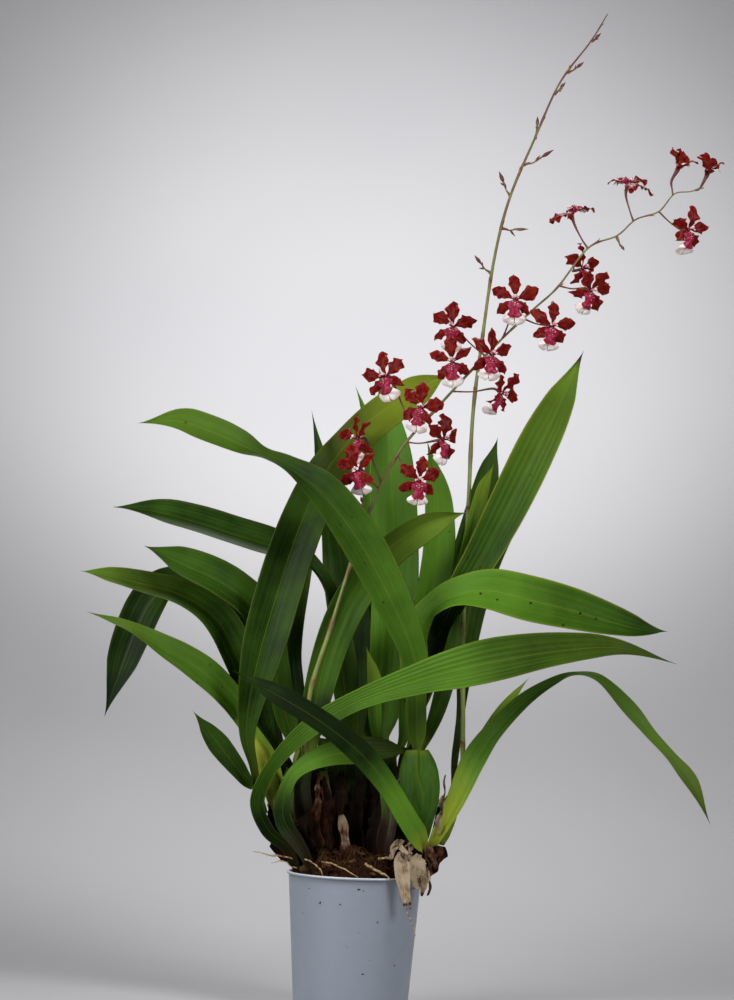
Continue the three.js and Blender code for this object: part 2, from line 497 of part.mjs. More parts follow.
function lathed(profile) {
  const outline = profile.map(([radius, height]) => new THREE.Vector2(radius, height));
  return new THREE.LatheGeometry(outline, POT_FACETS).rotateX(Math.PI / 2);
}

const orchid = new THREE.Group();
const pieces = {};
function add(name, geometry, material) {
  pieces[name] = new THREE.Mesh(geometry, material);
  pieces[name].name = name;
  orchid.add(pieces[name]);
}

add("pot", potGeometry(), POT_BLUE_GREY);
add("growing_medium", mixGeometry(), BARK_BROWN);
add("rhizome", stemGeometry(seated(RHIZOME, pieces.growing_medium), BULB_RINGS, BULB_SIDES), BULB_GREEN);
for (const [name, { on, material, route }] of Object.entries(BULBS)) {
  add(name, stemGeometry(seated(route, pieces[on]), BULB_RINGS, BULB_SIDES), material);
}
const bract = bladeGeometry(seated(DRY_BRACT, pieces.rhizome), BRACT_RINGS, LEAF_THICKNESS, LEAF_FOLD);
add("dry_bract", bract, DRY_HUSK);
for (const [name, { on, route }] of Object.entries(LEAVES)) {
  add(name, bladeGeometry(seated(route, pieces[on]), LEAF_RINGS, LEAF_THICKNESS, LEAF_FOLD), LEAF_GREEN);
}
for (const [name, { on, route, twigs }] of Object.entries(SPIKES)) {
  const rings = Math.round(STEM_RINGS_PER_ROW * route.length);
  const stem = stemGeometry(seated(route, pieces[on]), rings, STEM_SIDES);
  add(name, joined([stem, ...twigs.flatMap((twig) => twigGeometries(twig, route))]), STEM_OLIVE);
}
for (const [name, flower] of Object.entries(FLOWERS)) {
  add(name, flowerGeometry(flower, pieces.spike_in_flower, SPIKES.spike_in_flower.route), TEPAL_MAROON);
}

export default orchid;
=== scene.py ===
"""A potted oncidium orchid: the looks of its pot, bark mix, pseudobulbs, leaves, spikes and flowers.

It is laid out as a Blender add-on and run as a script. Shapes are worked out in millimetres, in the frame's
own axes: X to the right, Y to the back, Z up, with the middle of the pot's base at the origin.
"""

import functools
import math

import bpy
import numpy as np
from bpy.props import FloatProperty, FloatVectorProperty, IntProperty, PointerProperty
from mathutils import Matrix, Vector


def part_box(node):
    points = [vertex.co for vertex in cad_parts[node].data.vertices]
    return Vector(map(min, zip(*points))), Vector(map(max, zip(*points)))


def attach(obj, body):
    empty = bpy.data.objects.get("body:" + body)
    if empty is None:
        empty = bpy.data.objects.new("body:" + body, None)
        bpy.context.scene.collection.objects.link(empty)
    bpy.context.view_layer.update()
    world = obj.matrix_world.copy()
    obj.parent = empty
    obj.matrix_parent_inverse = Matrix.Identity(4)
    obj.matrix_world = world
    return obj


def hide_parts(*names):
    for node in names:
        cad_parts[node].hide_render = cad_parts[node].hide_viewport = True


bl_info = {
    "name": "Potted Oncidium",
    "version": (1, 0, 0),
    "blender": (4, 5, 0),
    "location": "View3D > Sidebar > Orchid",
    "description": "Builds a potted oncidium orchid, piece by piece, round its frame",
    "category": "Add Mesh",
}

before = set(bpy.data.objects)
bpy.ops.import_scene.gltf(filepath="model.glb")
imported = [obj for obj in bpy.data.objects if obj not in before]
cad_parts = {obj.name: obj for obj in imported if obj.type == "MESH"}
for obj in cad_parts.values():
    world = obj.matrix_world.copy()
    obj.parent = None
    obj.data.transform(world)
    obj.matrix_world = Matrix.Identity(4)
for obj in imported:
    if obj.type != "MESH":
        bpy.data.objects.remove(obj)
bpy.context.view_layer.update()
MM = 0.001
TAU = 2 * math.pi
FRONT = np.array([0.0, -1.0, 0.0])
POT_MOUTH = np.array([0.0, 0.0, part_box("pot")[1].z / MM])

# How each leaf looks: its green at even steps from foot to tip, from 0, the deep shaded green, to 1, the
# young lit one, which paints light and shade along the blade as well as its age; how yellow its foot, its tip
# and its margin are, where a high tip yellow, as on the tall left leaf, also paints light on its far end; how
# dry its tip is, the depth of its pleats in millimetres and their number, how spotted it is, and the share of
# it, from the foot, that is an old brown sheath.
LEAF_LOOKS = {
    "leaf_left_front_long": ((0.25, 0.35, 0.4, 0.12, 0.5, 0.85), (0.1, 0.08, 0.1), 0.1, 0.3, 5, 0.8, 0.0),
    "leaf_left_high_arch": ((0.2, 0.16, 0.18, 0.14), (0.1, 0.0, 0.1), 0.1, 0.25, 5, 0.0, 0.0),
    "leaf_left_middle_arch": ((0.15, 0.25, 0.28, 0.25), (0.1, 0.0, 0.12), 0.0, 0.25, 5, 0.2, 0.0),
    "leaf_left_bright_arch": ((0.85, 0.6, 0.6, 0.5), (0.5, 0.15, 0.12), 0.1, 0.25, 4, 0.7, 0.0),
    "leaf_left_low_arch": ((0.1, 0.15, 0.1, 0.1, 0.15, 0.8), (0.1, 0.1, 0.12), 0.1, 0.25, 5, 0.1, 0.12),
    "leaf_left_hanging": ((0.05, 0.08, 0.0, -0.1), (0.1, 0.0, 0.08), 0.0, 0.3, 5, 0.0, 0.12),
    "leaf_left_tall": ((0.0, 0.1, 0.05, 0.25, 1.6), (0.1, 0.65, 0.08), 0.0, 0.12, 5, 0.1, 0.0),
    "leaf_left_short": ((0.3, 0.2, 0.15), (0.3, 0.0, 0.1), 0.0, 0.2, 4, 0.0, 0.2),
    "leaf_back_grey": ((0.1, 0.2, 0.3), (0.1, 0.0, 0.05), 1.2, 0.3, 5, 0.2, 0.0),
    "leaf_left_inner_upright": ((0.1, 0.15, 0.25), (0.2, 0.1, 0.1), 0.0, 0.2, 4, 0.0, 0.0),
    "leaf_front_dark": (
        (1.3, 1.3, 1.3, 0.9, 0.1, -0.1, -0.1, 0.0), (0.9, 0.0, 0.03), 0.0, 0.25, 4, 0.0, 0.04
    ),
    "leaf_right_pleated": (
        (-0.1, -0.1, -0.05, 0.3, 0.5, 0.62, 0.66, 0.2, 0.18, 0.1), (0.0, 0.05, 0.12), 0.1, 1.2, 9, 0.0, 0.2
    ),
    "leaf_low_crossing": (
        (-0.1, -0.1, -0.1, 0.1, 0.8, 0.25, 0.05, 0.0), (0.0, 0.05, 0.05), 0.0, 0.2, 4, 0.0, 0.3
    ),
    "leaf_right_spotted": ((-0.05, 0.0, 0.6, 0.9, 0.3, 0.15), (0.1, 0.0, 0.3), 0.1, 0.3, 5, 1.0, 0.0),
    "leaf_right_arching": (
        (1.1, 0.95, 0.45, 0.25, 0.45, 0.45, 0.05), (0.9, 0.1, 0.15), 0.15, 0.3, 4, 0.1, 0.05
    ),
    "leaf_right_small": ((0.6, 0.6, 0.6), (0.5, 0.4, 0.2), 0.1, 0.2, 3, 0.0, 0.0),
    "leaf_right_tall": (
        (0.0, 0.0, 0.05, 0.15, 0.22, 0.4, 0.45, 1.0), (0.1, 0.15, 0.45), 0.9, 0.6, 8, 0.6, 0.0
    ),
    "leaf_right_tall_back": ((0.05, 0.1, 0.3), (0.2, 0.1, 0.1), 0.0, 0.4, 6, 0.1, 0.0),
    "leaf_back_grey_tip": ((0.3, 0.4, 0.5), (0.1, 0.0, 0.0), 0.15, 0.4, 5, 0.2, 0.0),
    "leaf_back_pale_tip": ((0.4, 0.6, 0.9), (0.2, 0.4, 0.1), 0.2, 0.3, 5, 0.0, 0.0),
    "leaf_back_centre": ((0.5, 1.0, 1.0), (0.1, 0.0, 0.05), 0.2, 0.4, 6, 0.8, 0.0),
    "leaf_back_centre_left": ((0.3, 0.7, 0.9), (0.1, 0.0, 0.05), 0.1, 0.3, 5, 0.5, 0.0),
    "leaf_back_centre_right": ((0.3, 0.7, 0.9), (0.1, 0.0, 0.05), 0.1, 0.3, 5, 0.6, 0.0),
    "leaf_centre_bright": (
        (0.2, 0.4, 0.0, 0.4, 0.45, 0.2, 0.5, 0.45), (0.3, 0.2, 0.1), 0.1, 0.3, 5, 0.3, 0.0
    ),
    "leaf_centre_young": ((0.6, 0.6, 0.6), (0.3, 0.3, 0.1), 0.0, 0.2, 4, 0.0, 0.0),
    "leaf_right_neck": ((0.1, 0.15, 0.3), (0.3, 0.0, 0.1), 0.1, 0.2, 3, 0.0, 0.0),
}

# How each bulb looks: the share of young, lit green in its flesh, kept low in the bulbs at the back and in
# the middle to paint the shade there, and how yellow it is, then its sheaths. A sheath is where its middle
# lies round the bulb in degrees (0 right, 90 front, 180 left), how far it reaches to each side, how far up
# the bulb its end comes, how dry it is, how blunt its end is, and how far it stands off the bulb there.
BULB_LOOKS = {
    "bulb_left_yellow": (0.7, 0.6, [(60, 70, 0.8, 0.15, 0, 1), (200, 80, 0.5, 0.2, 0, 1)]),
    "bulb_left_inner": (
        0.3, 0.35, [(100, 80, 0.8, 0, 0, 1), (220, 90, 0.6, 0.95, 0, 2), (20, 70, 0.7, 1, 0, 2)]
    ),
    "bulb_dry_brown": (
        0.1, 0.3, [(80, 90, 0.95, 1, 0, 2), (200, 80, 0.8, 1, 0, 3), (320, 80, 0.98, 1, 0, 2)]
    ),
    "bulb_back_left": (
        0.1, 0.1, [(110, 80, 0.7, 1, 0, 2), (20, 80, 0.9, 1, 0, 2), (250, 80, 0.8, 0.8, 0, 2)]
    ),
    "bulb_back_right": (
        0.15, 0.1, [(70, 80, 0.8, 1, 0, 3), (170, 80, 0.9, 1, 0, 2), (290, 80, 0.6, 0.9, 0, 1)]
    ),
    "bulb_back_far_right": (
        0.2, 0.2, [(95, 80, 0.8, 1, 0, 2), (200, 80, 0.6, 0.9, 0, 1), (330, 80, 0.7, 1, 0, 1)]
    ),
    "bulb_front_right": (
        0.35, 0.28, [(30, 80, 0.985, 0, 1, 3.4), (160, 84, 1.0, 0, 1, 4), (270, 80, 0.8, 0, 0, 1)]
    ),
    "bulb_right": (
        0.5, 0.6, [(165, 60, 0.99, 0.95, 0, 2), (40, 90, 1.0, 0.1, 0.6, 2), (270, 80, 0.6, 0.3, 0, 1)]
    ),
}

HALF_DRY = 0.5  # a sheath this dry or drier is a brown husk, and one less dry is green

# Leaves whose bases clasp the growth below where their blade is carried: the base's points from its foot
# up, its half widths, and the CAD row from which the blade goes on.
LEAF_BASES = {
    "leaf_right_arching": (
        [[66, -16, 145], [76, -17, 166], [86, -16, 187], [94, -16, 208], [103, -16, 228]],
        [4, 7, 9, 11, 11], 3,
    ),
    "leaf_right_tall_back": ([[77, -6, 166], [82, 4, 190]], [3, 4], 2),
    "leaf_left_tall": ([[-81, -12, 172], [-89, -18, 191], [-93, -24, 213]], [2, 4, 4.5], 2),
    "leaf_left_bright_arch": ([[-70, -4, 190], [-74, -7, 204], [-82, -9, 224]], [4, 6.5, 7], 2),
}

# Leaves whose blade turns its face near the tip: at a row, counted back from the tip, the [x, y, z] that is
# added to the half of it that points up.
TIP_TURNS = {
    "leaf_right_pleated": {-4: (0, 0, 2.0), -3: (0, 0, 5.5), -2: (0, 0, 5.5)},
    "leaf_left_tall": {-6: (0, 4, 0), -5: (0, 10, 0), -4: (0, 9, 0), -3: (0, 6.5, 0), -2: (0, 3.5, 0)},
}

# Bases of old leaves that stand between the bulbs: [foot, middle, top], the width, and the share of young,
# lit green at the top, kept low to paint the shade between the bulbs.
OLD_BASES = [
    ([[-44, -6, 134], [-50, -6, 186], [-46, -4, 236]], 20, 0.3),
    ([[-30, 0, 134], [-36, 0, 190], [-32, 2, 238]], 20, 0.2),
    ([[-16, -2, 134], [-20, -2, 186], [-18, 0, 236]], 22, 0.1),
    ([[-2, 0, 134], [-3, 0, 190], [0, 2, 238]], 22, 0.15),
    ([[10, -2, 134], [11, 0, 190], [14, 2, 236]], 20, 0.1),
    ([[22, 0, 134], [25, 0, 190], [26, 0, 236]], 20, 0.2),
    ([[34, -2, 136], [38, 0, 190], [41, 2, 234]], 18, 0.1),
    ([[24, -25, 140], [28, -26, 172], [22, -24, 200]], 15, 0.35),
    ([[-50, -14, 132], [-62, -12, 168], [-60, -8, 212]], 16, 0.3),
]

# Bulbs whose flesh is slimmer than their CAD oval: shares of its width at even steps from foot to tip.
SLIM_BULBS = {
    "bulb_front_right": (1, 0.6, 0.62, 0.8, 0.9, 0.95, 1.0),
    "bulb_left_inner": (1, 0.8, 0.8, 0.8, 1.0),
}

# The spikes' routes run from the foot to the tip: [x, y, z, stem width].
SPIKE_IN_BUD = [
    [80, -2, 160, 4.4], [82, 5, 166, 4.2], [90, 4, 205, 4.4], [90, 0, 250, 4.6], [88, 4, 300, 4.6],
    [87, 13, 352, 4.6], [88, 20, 449, 4.2], [89, 23, 530, 3.8], [95, 26, 599, 3.4],
    [103, 34, 669, 3], [115, 42, 725, 2.8], [136, 50, 781, 2.4], [157, 58, 833, 2],
    [184, 66, 873, 1.6], [199, 74, 900, 1],
]
SPIKE_IN_FLOWER = [
    [-46, -14, 209, 4.2], [-46, -18, 214, 4.2], [-47, -26, 246, 4.6], [-45, -30, 280, 4.6],
    [-38, -34, 308, 4.6], [-30, -36, 334, 4.6], [-18, -36, 378, 4.4], [-2, -36, 432, 4.2],
    [23, -40, 489, 4], [58, -44, 533, 3.8], [86, -46, 566, 3.6], [114, -46, 597, 3.4],
    [138, -44, 621, 3.2], [157, -42, 640, 3], [182, -38, 675, 2.8], [207, -36, 687, 2.6],
    [223, -34, 702, 2.4], [243, -32, 710, 2.2], [256, -30, 726, 2], [270, -28, 729, 1.8],
    [282, -26, 733, 1.6],
]
# Twigs: where each leaves the stem, where it ends, and the length and width of the bud at its end.
BUD_TWIGS = [
    ([101, 31, 655], [91, 30, 665], 9, 3), ([109, 37, 698], [121, 36, 697], 12, 3),
    ([115, 42, 725], [109, 43, 740], 10, 3.4), ([126, 46, 757], [143, 44, 764], 12, 3.2),
    ([136, 50, 781], [138, 54, 793], 9, 3), ([153, 56, 822], [158, 59, 829], 7, 2.8),
    ([165, 61, 844], [172, 60, 848], 8, 2.8), ([184, 66, 873], [189, 68, 877], 7, 2.4),
]
FLOWER_TWIGS = [([207, -36, 687], [211, -37, 678], 5, 2.4), ([0, -36, 436], [-6, -44, 446], 6, 3)]

# Crumbs of bark on the pot's wall: the turn round it from the front in degrees, the height, the size.
WALL_CRUMBS = (
    (-43, 110, 1.8), (-31, 99, 3.2), (-12, 98.5, 2.6), (4, 112, 3.0), (8, 111, 1.8), (22, 84, 1.6),
    (11, 39, 2.2), (44, 46, 1.6), (-52, 88, 1.4), (-5, 62, 1.2), (60, 95, 2.0), (100, 80, 2.4),
    (170, 100, 2.2), (230, 70, 2.0),
)

HUSK_THICK, BRACT_THICK = 0.5, 0.35  # of a husk over the rim, and of a bract on a spike
RHIZOME_RIDGE = 0.06  # depth of its rings and ridges as a share of its radius
FOOT_RUN = 3  # how far a leaf's foot runs on into what carries it
CRUMB_SEED, MIX_SEED, RHIZOME_SEED, TWIG_SEED, FLOWER_SEED = 5, 11, 30, 300, 500

# Thicker roots: one that sticks out over the rim on the left, one that hangs in front on the right, and a
# few that run over the heap. Each is its middle line and its width.
ROOT_LINES = [
    ([[-46, -14, 128], [-56, -18, 134], [-66, -20, 136], [-78, -22, 136], [-88, -23, 137]], 1.7),
    ([[-50, -20, 124], [-60, -22, 130], [-68, -21, 131], [-74, -18, 129]], 1.0),
    ([[44, -56, 112], [45, -62, 104], [47, -64, 94], [51, -65, 84], [54, -64, 75]], 1.1),
    ([[8, -46, 133], [16, -52, 130], [24, -55, 126], [32, -55, 122]], 2.2),
    ([[-30, -44, 134], [-20, -50, 132], [-8, -54, 128], [2, -56, 122]], 1.6),
    ([[-44, -30, 134], [-36, -40, 132], [-30, -48, 128], [-28, -53, 121]], 1.4),
    ([[20, -38, 138], [30, -40, 138], [40, -40, 134], [46, -36, 130]], 2.0),
    ([[-10, 40, 134], [6, 48, 131], [22, 50, 127], [36, 44, 124]], 2.0),
    ([[40, 30, 136], [50, 20, 132], [55, 6, 125], [54, -8, 122]], 2.2),
]

# Torn husks: [foot, middle, tip], the width, the turn about the husk's own line, and how dark it is.
TORN_HUSKS = [
    ([[54, -36, 142], [53, -46, 126], [50, -50, 112]], 16, -10, 0.08),
    ([[47, -34, 150], [41, -40, 145], [34, -44, 138]], 9, 20, 0.1),
    ([[40, -34, 154], [34, -42, 146], [30, -44, 136]], 7, -30, 0.25),
    ([[46, -36, 150], [46, -44, 144], [41, -50, 130]], 8, 40, 0.3),
    ([[36, -36, 150], [40, -46, 146], [46, -48, 142]], 5, 0, 0.05),
    ([[61, -34, 146], [64, -40, 132], [63, -46, 108]], 7, 30, 0.55),
    ([[67, -24, 148], [69, -30, 138], [66, -36, 124]], 13, -20, 0.75),
    ([[58, -34, 138], [60, -46, 124], [58, -50, 106]], 8, -20, 0.35),
    ([[62, -30, 150], [66, -36, 140], [70, -38, 130]], 8, 10, 0.6),
    ([[40, -24, 146], [34, -36, 144], [30, -46, 134]], 9, 0, 0.75),
    ([[58, 6, 146], [66, 14, 134], [62, 18, 118]], 13, 120, 0.7),
    ([[69, -21, 160], [74, -20, 184], [75, -19, 211]], 5, 20, 0.0),
    ([[-36, -27, 172], [-34, -29, 196], [-35, -28, 210]], 5, 0, 0.62),
    ([[35, -20, 182], [38, -22, 204], [37, -20, 222]], 9, 0, 0.45),
    # These last eleven, of darkness 0.8 and more, are near-black sheets among and behind the bulbs that paint
    # the shade inside the clump.
    ([[-44, -14, 128], [-66, -12, 150], [-76, -10, 184]], 18, 0, 1.2),
    ([[-40, -14, 130], [-60, -10, 156], [-70, -8, 196]], 20, 0, 1.1),
    ([[-38, -24, 138], [-46, -28, 158], [-44, -30, 176]], 12, 0, 1.1),
    ([[-30, -24, 136], [-34, -27, 166], [-33, -28, 204]], 12, 10, 0.8),
    ([[14, -18, 138], [16, -22, 166], [20, -20, 190]], 13, -10, 1.2),
    ([[2, -14, 138], [2, -12, 176], [6, -10, 206]], 17, 10, 1.1),
    ([[-14, -16, 136], [-16, -18, 170], [-14, -16, 212]], 18, 0, 1.0),
    ([[20, -8, 138], [22, -8, 180], [18, -6, 224]], 22, 0, 1.2),
    ([[-30, 20, 138], [-36, 22, 178], [-36, 24, 220]], 22, 160, 1.0),
    ([[8, 34, 136], [8, 40, 170], [4, 42, 200]], 18, 180, 1.0),
    ([[34, 28, 136], [36, 34, 160], [34, 36, 186]], 15, 190, 1.0),
]

# A flower in its own axes: it looks along -Y, with its dorsal sepal up. Each tepal has its bearing from
# straight up in degrees, its length and its width; the lip hangs below.
TEPALS = ((0, 21, 12.5), (62, 20, 13), (130, 18, 10.5), (-130, 18, 10.5), (-62, 20, 13))
LIP_TIP = (0, -2, -25)
COLUMN_TIP = (0, -9.598, 2.48)
SPREADS = (86, 38)  # degrees that the tepals have opened from straight ahead: open, and half open
HALF_OPEN = 60  # a spread below this is a half-open flower
BUD_CUP = 3.2  # how much further the pedicel runs into a half-open flower
BUD_LIP, BUD_FOLD = 0.6, 62  # the size of its lip, and the degrees by which it is folded forwards
TEPAL_OUTLINE = (0.2, 0.22, 0.4, 0.7, 0.92, 1.0, 0.9, 0.6, 0.0)  # half widths at even steps
# The lip: its half widths and how far it stands forward, at even steps from its foot to its tip, and where
# the knobs of its callus are, as shares across and down it.
LIP_HALF_WIDTHS = (2.5, 6.0, 7.6, 6.6, 4.8, 4.6, 7.0, 9.4, 10.0, 7.8, 1.5)
CURLED_LIPS = {"flower_15": 0.5, "flower_16": 0.5}  # how much of its length an old lip shows
LIP_KNOBS = ((0, 0.05), (-0.3, 0.1), (0.3, 0.1), (0, 0.15), (-0.34, 0.2), (0.34, 0.2), (0, 0.25), (0, 0.33))
LIP_AHEAD = (0.5, 2.5, 4.0, 4.8, 5.0, 5.0, 4.8, 4.2, 3.4, 2.6, 2.0)

# The studio, in metres and degrees. Each light has its kind, its place, its aim, and the width of an area
# light or the cone of a spot.
LIGHTS = {
    "key": ("AREA", (-1.6, -1.6, 0.95), (0.05, 0.0, 0.4), 1.2),
    "fill": ("AREA", (1.3, -1.5, 1.5), (0.05, 0.0, 0.4), 0.8),
    "wall_wash": ("SPOT", (-0.02, 0.1, 1.4), (0.02, 2.3, 0.59), 50),
    "floor_wash": ("SPOT", (0.0, 0.5, 1.8), (0.02, 0.9, 0.0), 64),
    "pool": ("SPOT", (-0.03, 0.3, 1.8), (-0.03, 0.75, 0.0), 34),
    "top": ("SPOT", (0.1, 0.9, 1.9), (0.05, 0.0, 0.6), 44),
}
SPOT_RADIUS = 0.25
SWEEP_REACH = 4.0  # how far the sweep runs to the front, to each side and up
FADE_FROM, FADE_TO = 1.1, 2.2  # where it fades out to the sides and the front
SWEEP_BEND = 2.0  # the radius of its bend
WALL_AWAY = 2.3  # how far behind the pot it stands upright
LENS_MM, SENSOR_MM = 122.7, 36.0
CAMERA_PLACE = (-0.0021, -3.0, 0.363)
CAMERA_TILT, CAMERA_LEAN = 1.646, 2.2


def linear(hex_code):
    """An sRGB hex colour as linear red, green, blue and alpha."""
    parts = np.array([int(hex_code[i : i + 2], 16) for i in (1, 3, 5)]) / 255
    curved = ((parts + 0.055) / 1.055) ** 2.4
    return (*np.where(parts <= 0.04045, parts / 12.92, curved).tolist(), 1.0)


def colour(name, hex_code, description):
    """A colour that a user may change."""
    return FloatVectorProperty(
        name=name, description=description, default=linear(hex_code), size=4, min=0, max=1, subtype="COLOR"
    )


def power(name, default, description):
    """A light's power in watts that a user may change."""
    return FloatProperty(name=name, description=description, default=default, min=0, max=1000, unit="POWER")


def amount(name, default, description, least, most):
    """A length in millimetres, or a share where its description says so, that a user may change."""
    return FloatProperty(name=name, description=description, default=default, min=least, max=most)


def number(name, default, description, least, most):
    """A whole number that a user may change."""
    return IntProperty(name=name, description=description, default=default, min=least, max=most)


# ---------------------------------------------------------------- shapes


def unit(vectors):
    """Each vector over its own length."""
    return vectors / np.linalg.norm(vectors, axis=-1, keepdims=True).clip(1e-9)


def ease(value, low=0.0, high=1.0):
    """0 up to low, 1 from high on, and three times the square less twice the cube of the share between."""
    share = np.clip((value - low) / (high - low), 0, 1)
    return share * share * (3 - 2 * share)


def through(rows, places):
    """A Catmull-Rom curve through evenly spaced rows, read at places from 0 to the last row's number: a cubic
    between two rows, whose slope at each row is half the difference of the rows beside it."""
    rows = np.asarray(rows, float).reshape(len(rows), -1)
    padded = np.vstack([2 * rows[0] - rows[1], rows, 2 * rows[-1] - rows[-2]])
    index = np.clip(places.astype(int), 0, len(rows) - 2)
    share = (places - index)[:, None]
    a, b, c, d = (padded[index + k] for k in range(4))
    return b + 0.5 * share * (c - a + share * (2 * a - 5 * b + 4 * c - d + share * (3 * (b - c) + d - a)))


def curve(values, shares):
    """One value at each share from 0 to 1, through values that stand at even steps."""
    return through(values, np.asarray(shares, float) * (len(values) - 1))[:, 0]


def ripple(points, size, seed, waves=14):
    """Smooth noise of about -1 to 1: the sum of sine waves of about that length, with random directions and
    phases, over the square root of half their number."""
    rng = np.random.default_rng(seed)
    ways = unit(rng.normal(size=(waves, 3))) / (size * rng.uniform(0.6, 1.7, (waves, 1)))
    return np.sin(points @ ways.T * TAU + rng.uniform(0, TAU, waves)).sum(-1) / math.sqrt(waves / 2)


def frame_along(middle):
    """The way ahead along a line, and two directions square to it and to each other. The reference is the
    axis that the line follows least."""
    ahead = unit(np.gradient(middle, axis=0))
    least = np.eye(3)[np.abs(ahead).max(0).argmin()]
    across = unit(np.cross(ahead, least))
    return ahead, across, np.cross(across, ahead)


def around(one, other, angle):
    """One direction times the cosine of the angle plus another times its sine."""
    return one * np.cos(angle)[..., None] + other * np.sin(angle)[..., None]


def round_section(sides):
    """The way round a thin section: v, from 1 at one edge to -1 at the other and back with points that crowd
    at the edges, and the sine of the turn, by which the section swells like a lens."""
    step = np.arange(sides + 1) / sides
    return 0.65 * (4 * np.abs(step - 0.5) - 1) + 0.35 * np.cos(TAU * step), np.sin(TAU * step)


def flat_uv(v, u):
    """A uv grid for a blade: v across it, from 0 to 1, and u along it."""
    return np.stack(np.broadcast_arrays((v + 1) / 2, u), axis=-1)


def wobbled(line, amount, size, seed):
    """A line whose points stray by about an amount, in bends of a size."""
    return line + amount * np.stack([ripple(line, size, seed + k) for k in range(3)], axis=1)


def tube(rings, uv=None, **fields):
    """A closed surface through rings of corners (ring, side, 3), closed at each end by a fan to the ring's
    middle. uv has one more side than the rings, for the seam. A field is a number for the whole tube, for
    each ring or for each corner. Faces are turned so that the volume inside counts as positive."""
    count, sides = rings.shape[:2]
    total = count * sides
    corners = np.concatenate([rings.reshape(-1, 3), rings[:1].mean(1), rings[-1:].mean(1)])
    here = np.arange(total).reshape(count, sides)
    beside = np.roll(here, -1, axis=1)
    quads = np.stack([here[:-1], beside[:-1], beside[1:], here[1:]], axis=-1).reshape(-1, 4)
    foot = np.stack([beside[0], here[0], np.full(sides, total)], axis=-1)
    head = np.stack([here[-1], beside[-1], np.full(sides, total + 1)], axis=-1)
    if uv is None:
        uv = np.stack(np.meshgrid(np.arange(sides + 1) / sides, np.linspace(0, 1, count)), axis=-1)
    left, right = uv[:, :-1], uv[:, 1:]
    quad_uv = np.stack([left[:-1], right[:-1], right[1:], left[1:]], axis=2).reshape(-1, 4, 2)
    foot_uv = np.stack([right[0], left[0], (left[0] + right[0]) / 2], axis=1)
    head_uv = np.stack([left[-1], right[-1], (left[-1] + right[-1]) / 2], axis=1)
    fans, fan_uv = np.concatenate([foot, head]), np.concatenate([foot_uv, head_uv])
    triangles = np.concatenate([quads[:, :3], quads[:, [0, 2, 3]], fans])
    a, b, c = (corners[triangles[:, k]] for k in range(3))
    if np.sum(a * np.cross(b, c)) < 0:
        quads, quad_uv, fans, fan_uv = quads[:, ::-1], quad_uv[:, ::-1], fans[:, ::-1], fan_uv[:, ::-1]
    spread = {}
    for name, value in fields.items():
        value = np.asarray(value, float)
        value = np.broadcast_to(value[:, None] if value.ndim == 1 else value, (count, sides))
        spread[name] = np.concatenate([value.ravel(), value[:1].mean(1), value[-1:].mean(1)])
    return corners, quads, fans, quad_uv, fan_uv, spread


def make_piece(name, tubes, material, nodes=()):
    """One object from a list of tubes: its corners in metres, its faces smooth, its uv map and its fields.
    It rides on the root and stands for the CAD nodes given."""
    starts = np.cumsum([0] + [len(t[0]) for t in tubes[:-1]])
    corners = np.concatenate([t[0] for t in tubes]) * MM
    quads = np.concatenate([t[1] + start for t, start in zip(tubes, starts)])
    fans = np.concatenate([t[2] + start for t, start in zip(tubes, starts)])
    uv = np.concatenate([t[k].reshape(-1, 2) for k in (3, 4) for t in tubes])
    mesh = bpy.data.meshes.new(name)
    mesh.from_pydata(corners.tolist(), [], quads.tolist() + fans.tolist())
    mesh.uv_layers.new(name="surface").uv.foreach_set("vector", uv.astype(np.float32).ravel())
    for field in tubes[0][5]:
        values = np.concatenate([t[5][field] for t in tubes]).astype(np.float32)
        mesh.attributes.new(field, "FLOAT", "POINT").data.foreach_set("value", values)
    mesh.polygons.foreach_set("use_smooth", np.ones(len(mesh.polygons), bool))
    mesh.materials.append(material)
    piece = bpy.data.objects.new(name, mesh)
    bpy.context.scene.collection.objects.link(piece)
    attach(piece, "root")
    if nodes:
        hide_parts(*nodes)
    return piece


def stem(middle, widths, sides=10, ridges=0.0, **fields):
    """A round stem: at each ring a circle of half the width there, times one plus ridges times the cosine of
    six times the angle round it."""
    _, across, face = frame_along(middle)
    angle = np.arange(sides) * TAU / sides
    reach = np.asarray(widths, float)[:, None] / 2 * (1 + ridges * np.cos(6 * angle))
    return tube(middle[:, None] + around(across[:, None], face[:, None], angle) * reach[..., None], **fields)


def blade(rib, half, rise, thick, sides=40, pleat=0.0, pleats=6, wave=0.0, waves=3, phase=0.0, **fields):
    """A thin closed blade, from v = 1 at one edge to -1 at the other and back along its under side. A point
    is the midrib plus v half widths, plus the rise times the size of v to the power 1.3, plus a step along
    the normal: half the thickness as a lens, up or down; a pleat, as the cosine of pleats pi v; and the
    margin's wave, as v squared times a sine along the blade, which differs between the two edges."""
    count = len(rib)
    along = np.linspace(0, 1, count)[:, None]
    v, lens = (row[None] for row in round_section(sides))
    normal = unit(np.cross(unit(np.gradient(rib, axis=0)), unit(half)))
    normal *= np.sign(np.sum(normal * rise)) or 1.0
    fade = np.sin(math.pi * np.clip(along * 1.15, 0, 1)) ** 0.7
    lift = (np.asarray(thick, float).reshape(-1, 1) / 2) * lens
    lift = lift + pleat * fade * (1 - v**2) ** 0.5 * np.cos(pleats * math.pi * v)
    lift = lift + wave * fade * v**2 * np.sin(TAU * waves * along + phase + 1.9 * np.sign(v))
    rings = rib[:, None] + half[:, None] * v[..., None] + rise[:, None] * (np.abs(v) ** 1.3)[..., None]
    rings = (rings + normal[:, None] * lift[..., None])[:, :-1]
    return tube(rings, flat_uv(v, along), under=np.broadcast_to(lens[:, :-1] < 0, (count, sides)), **fields)


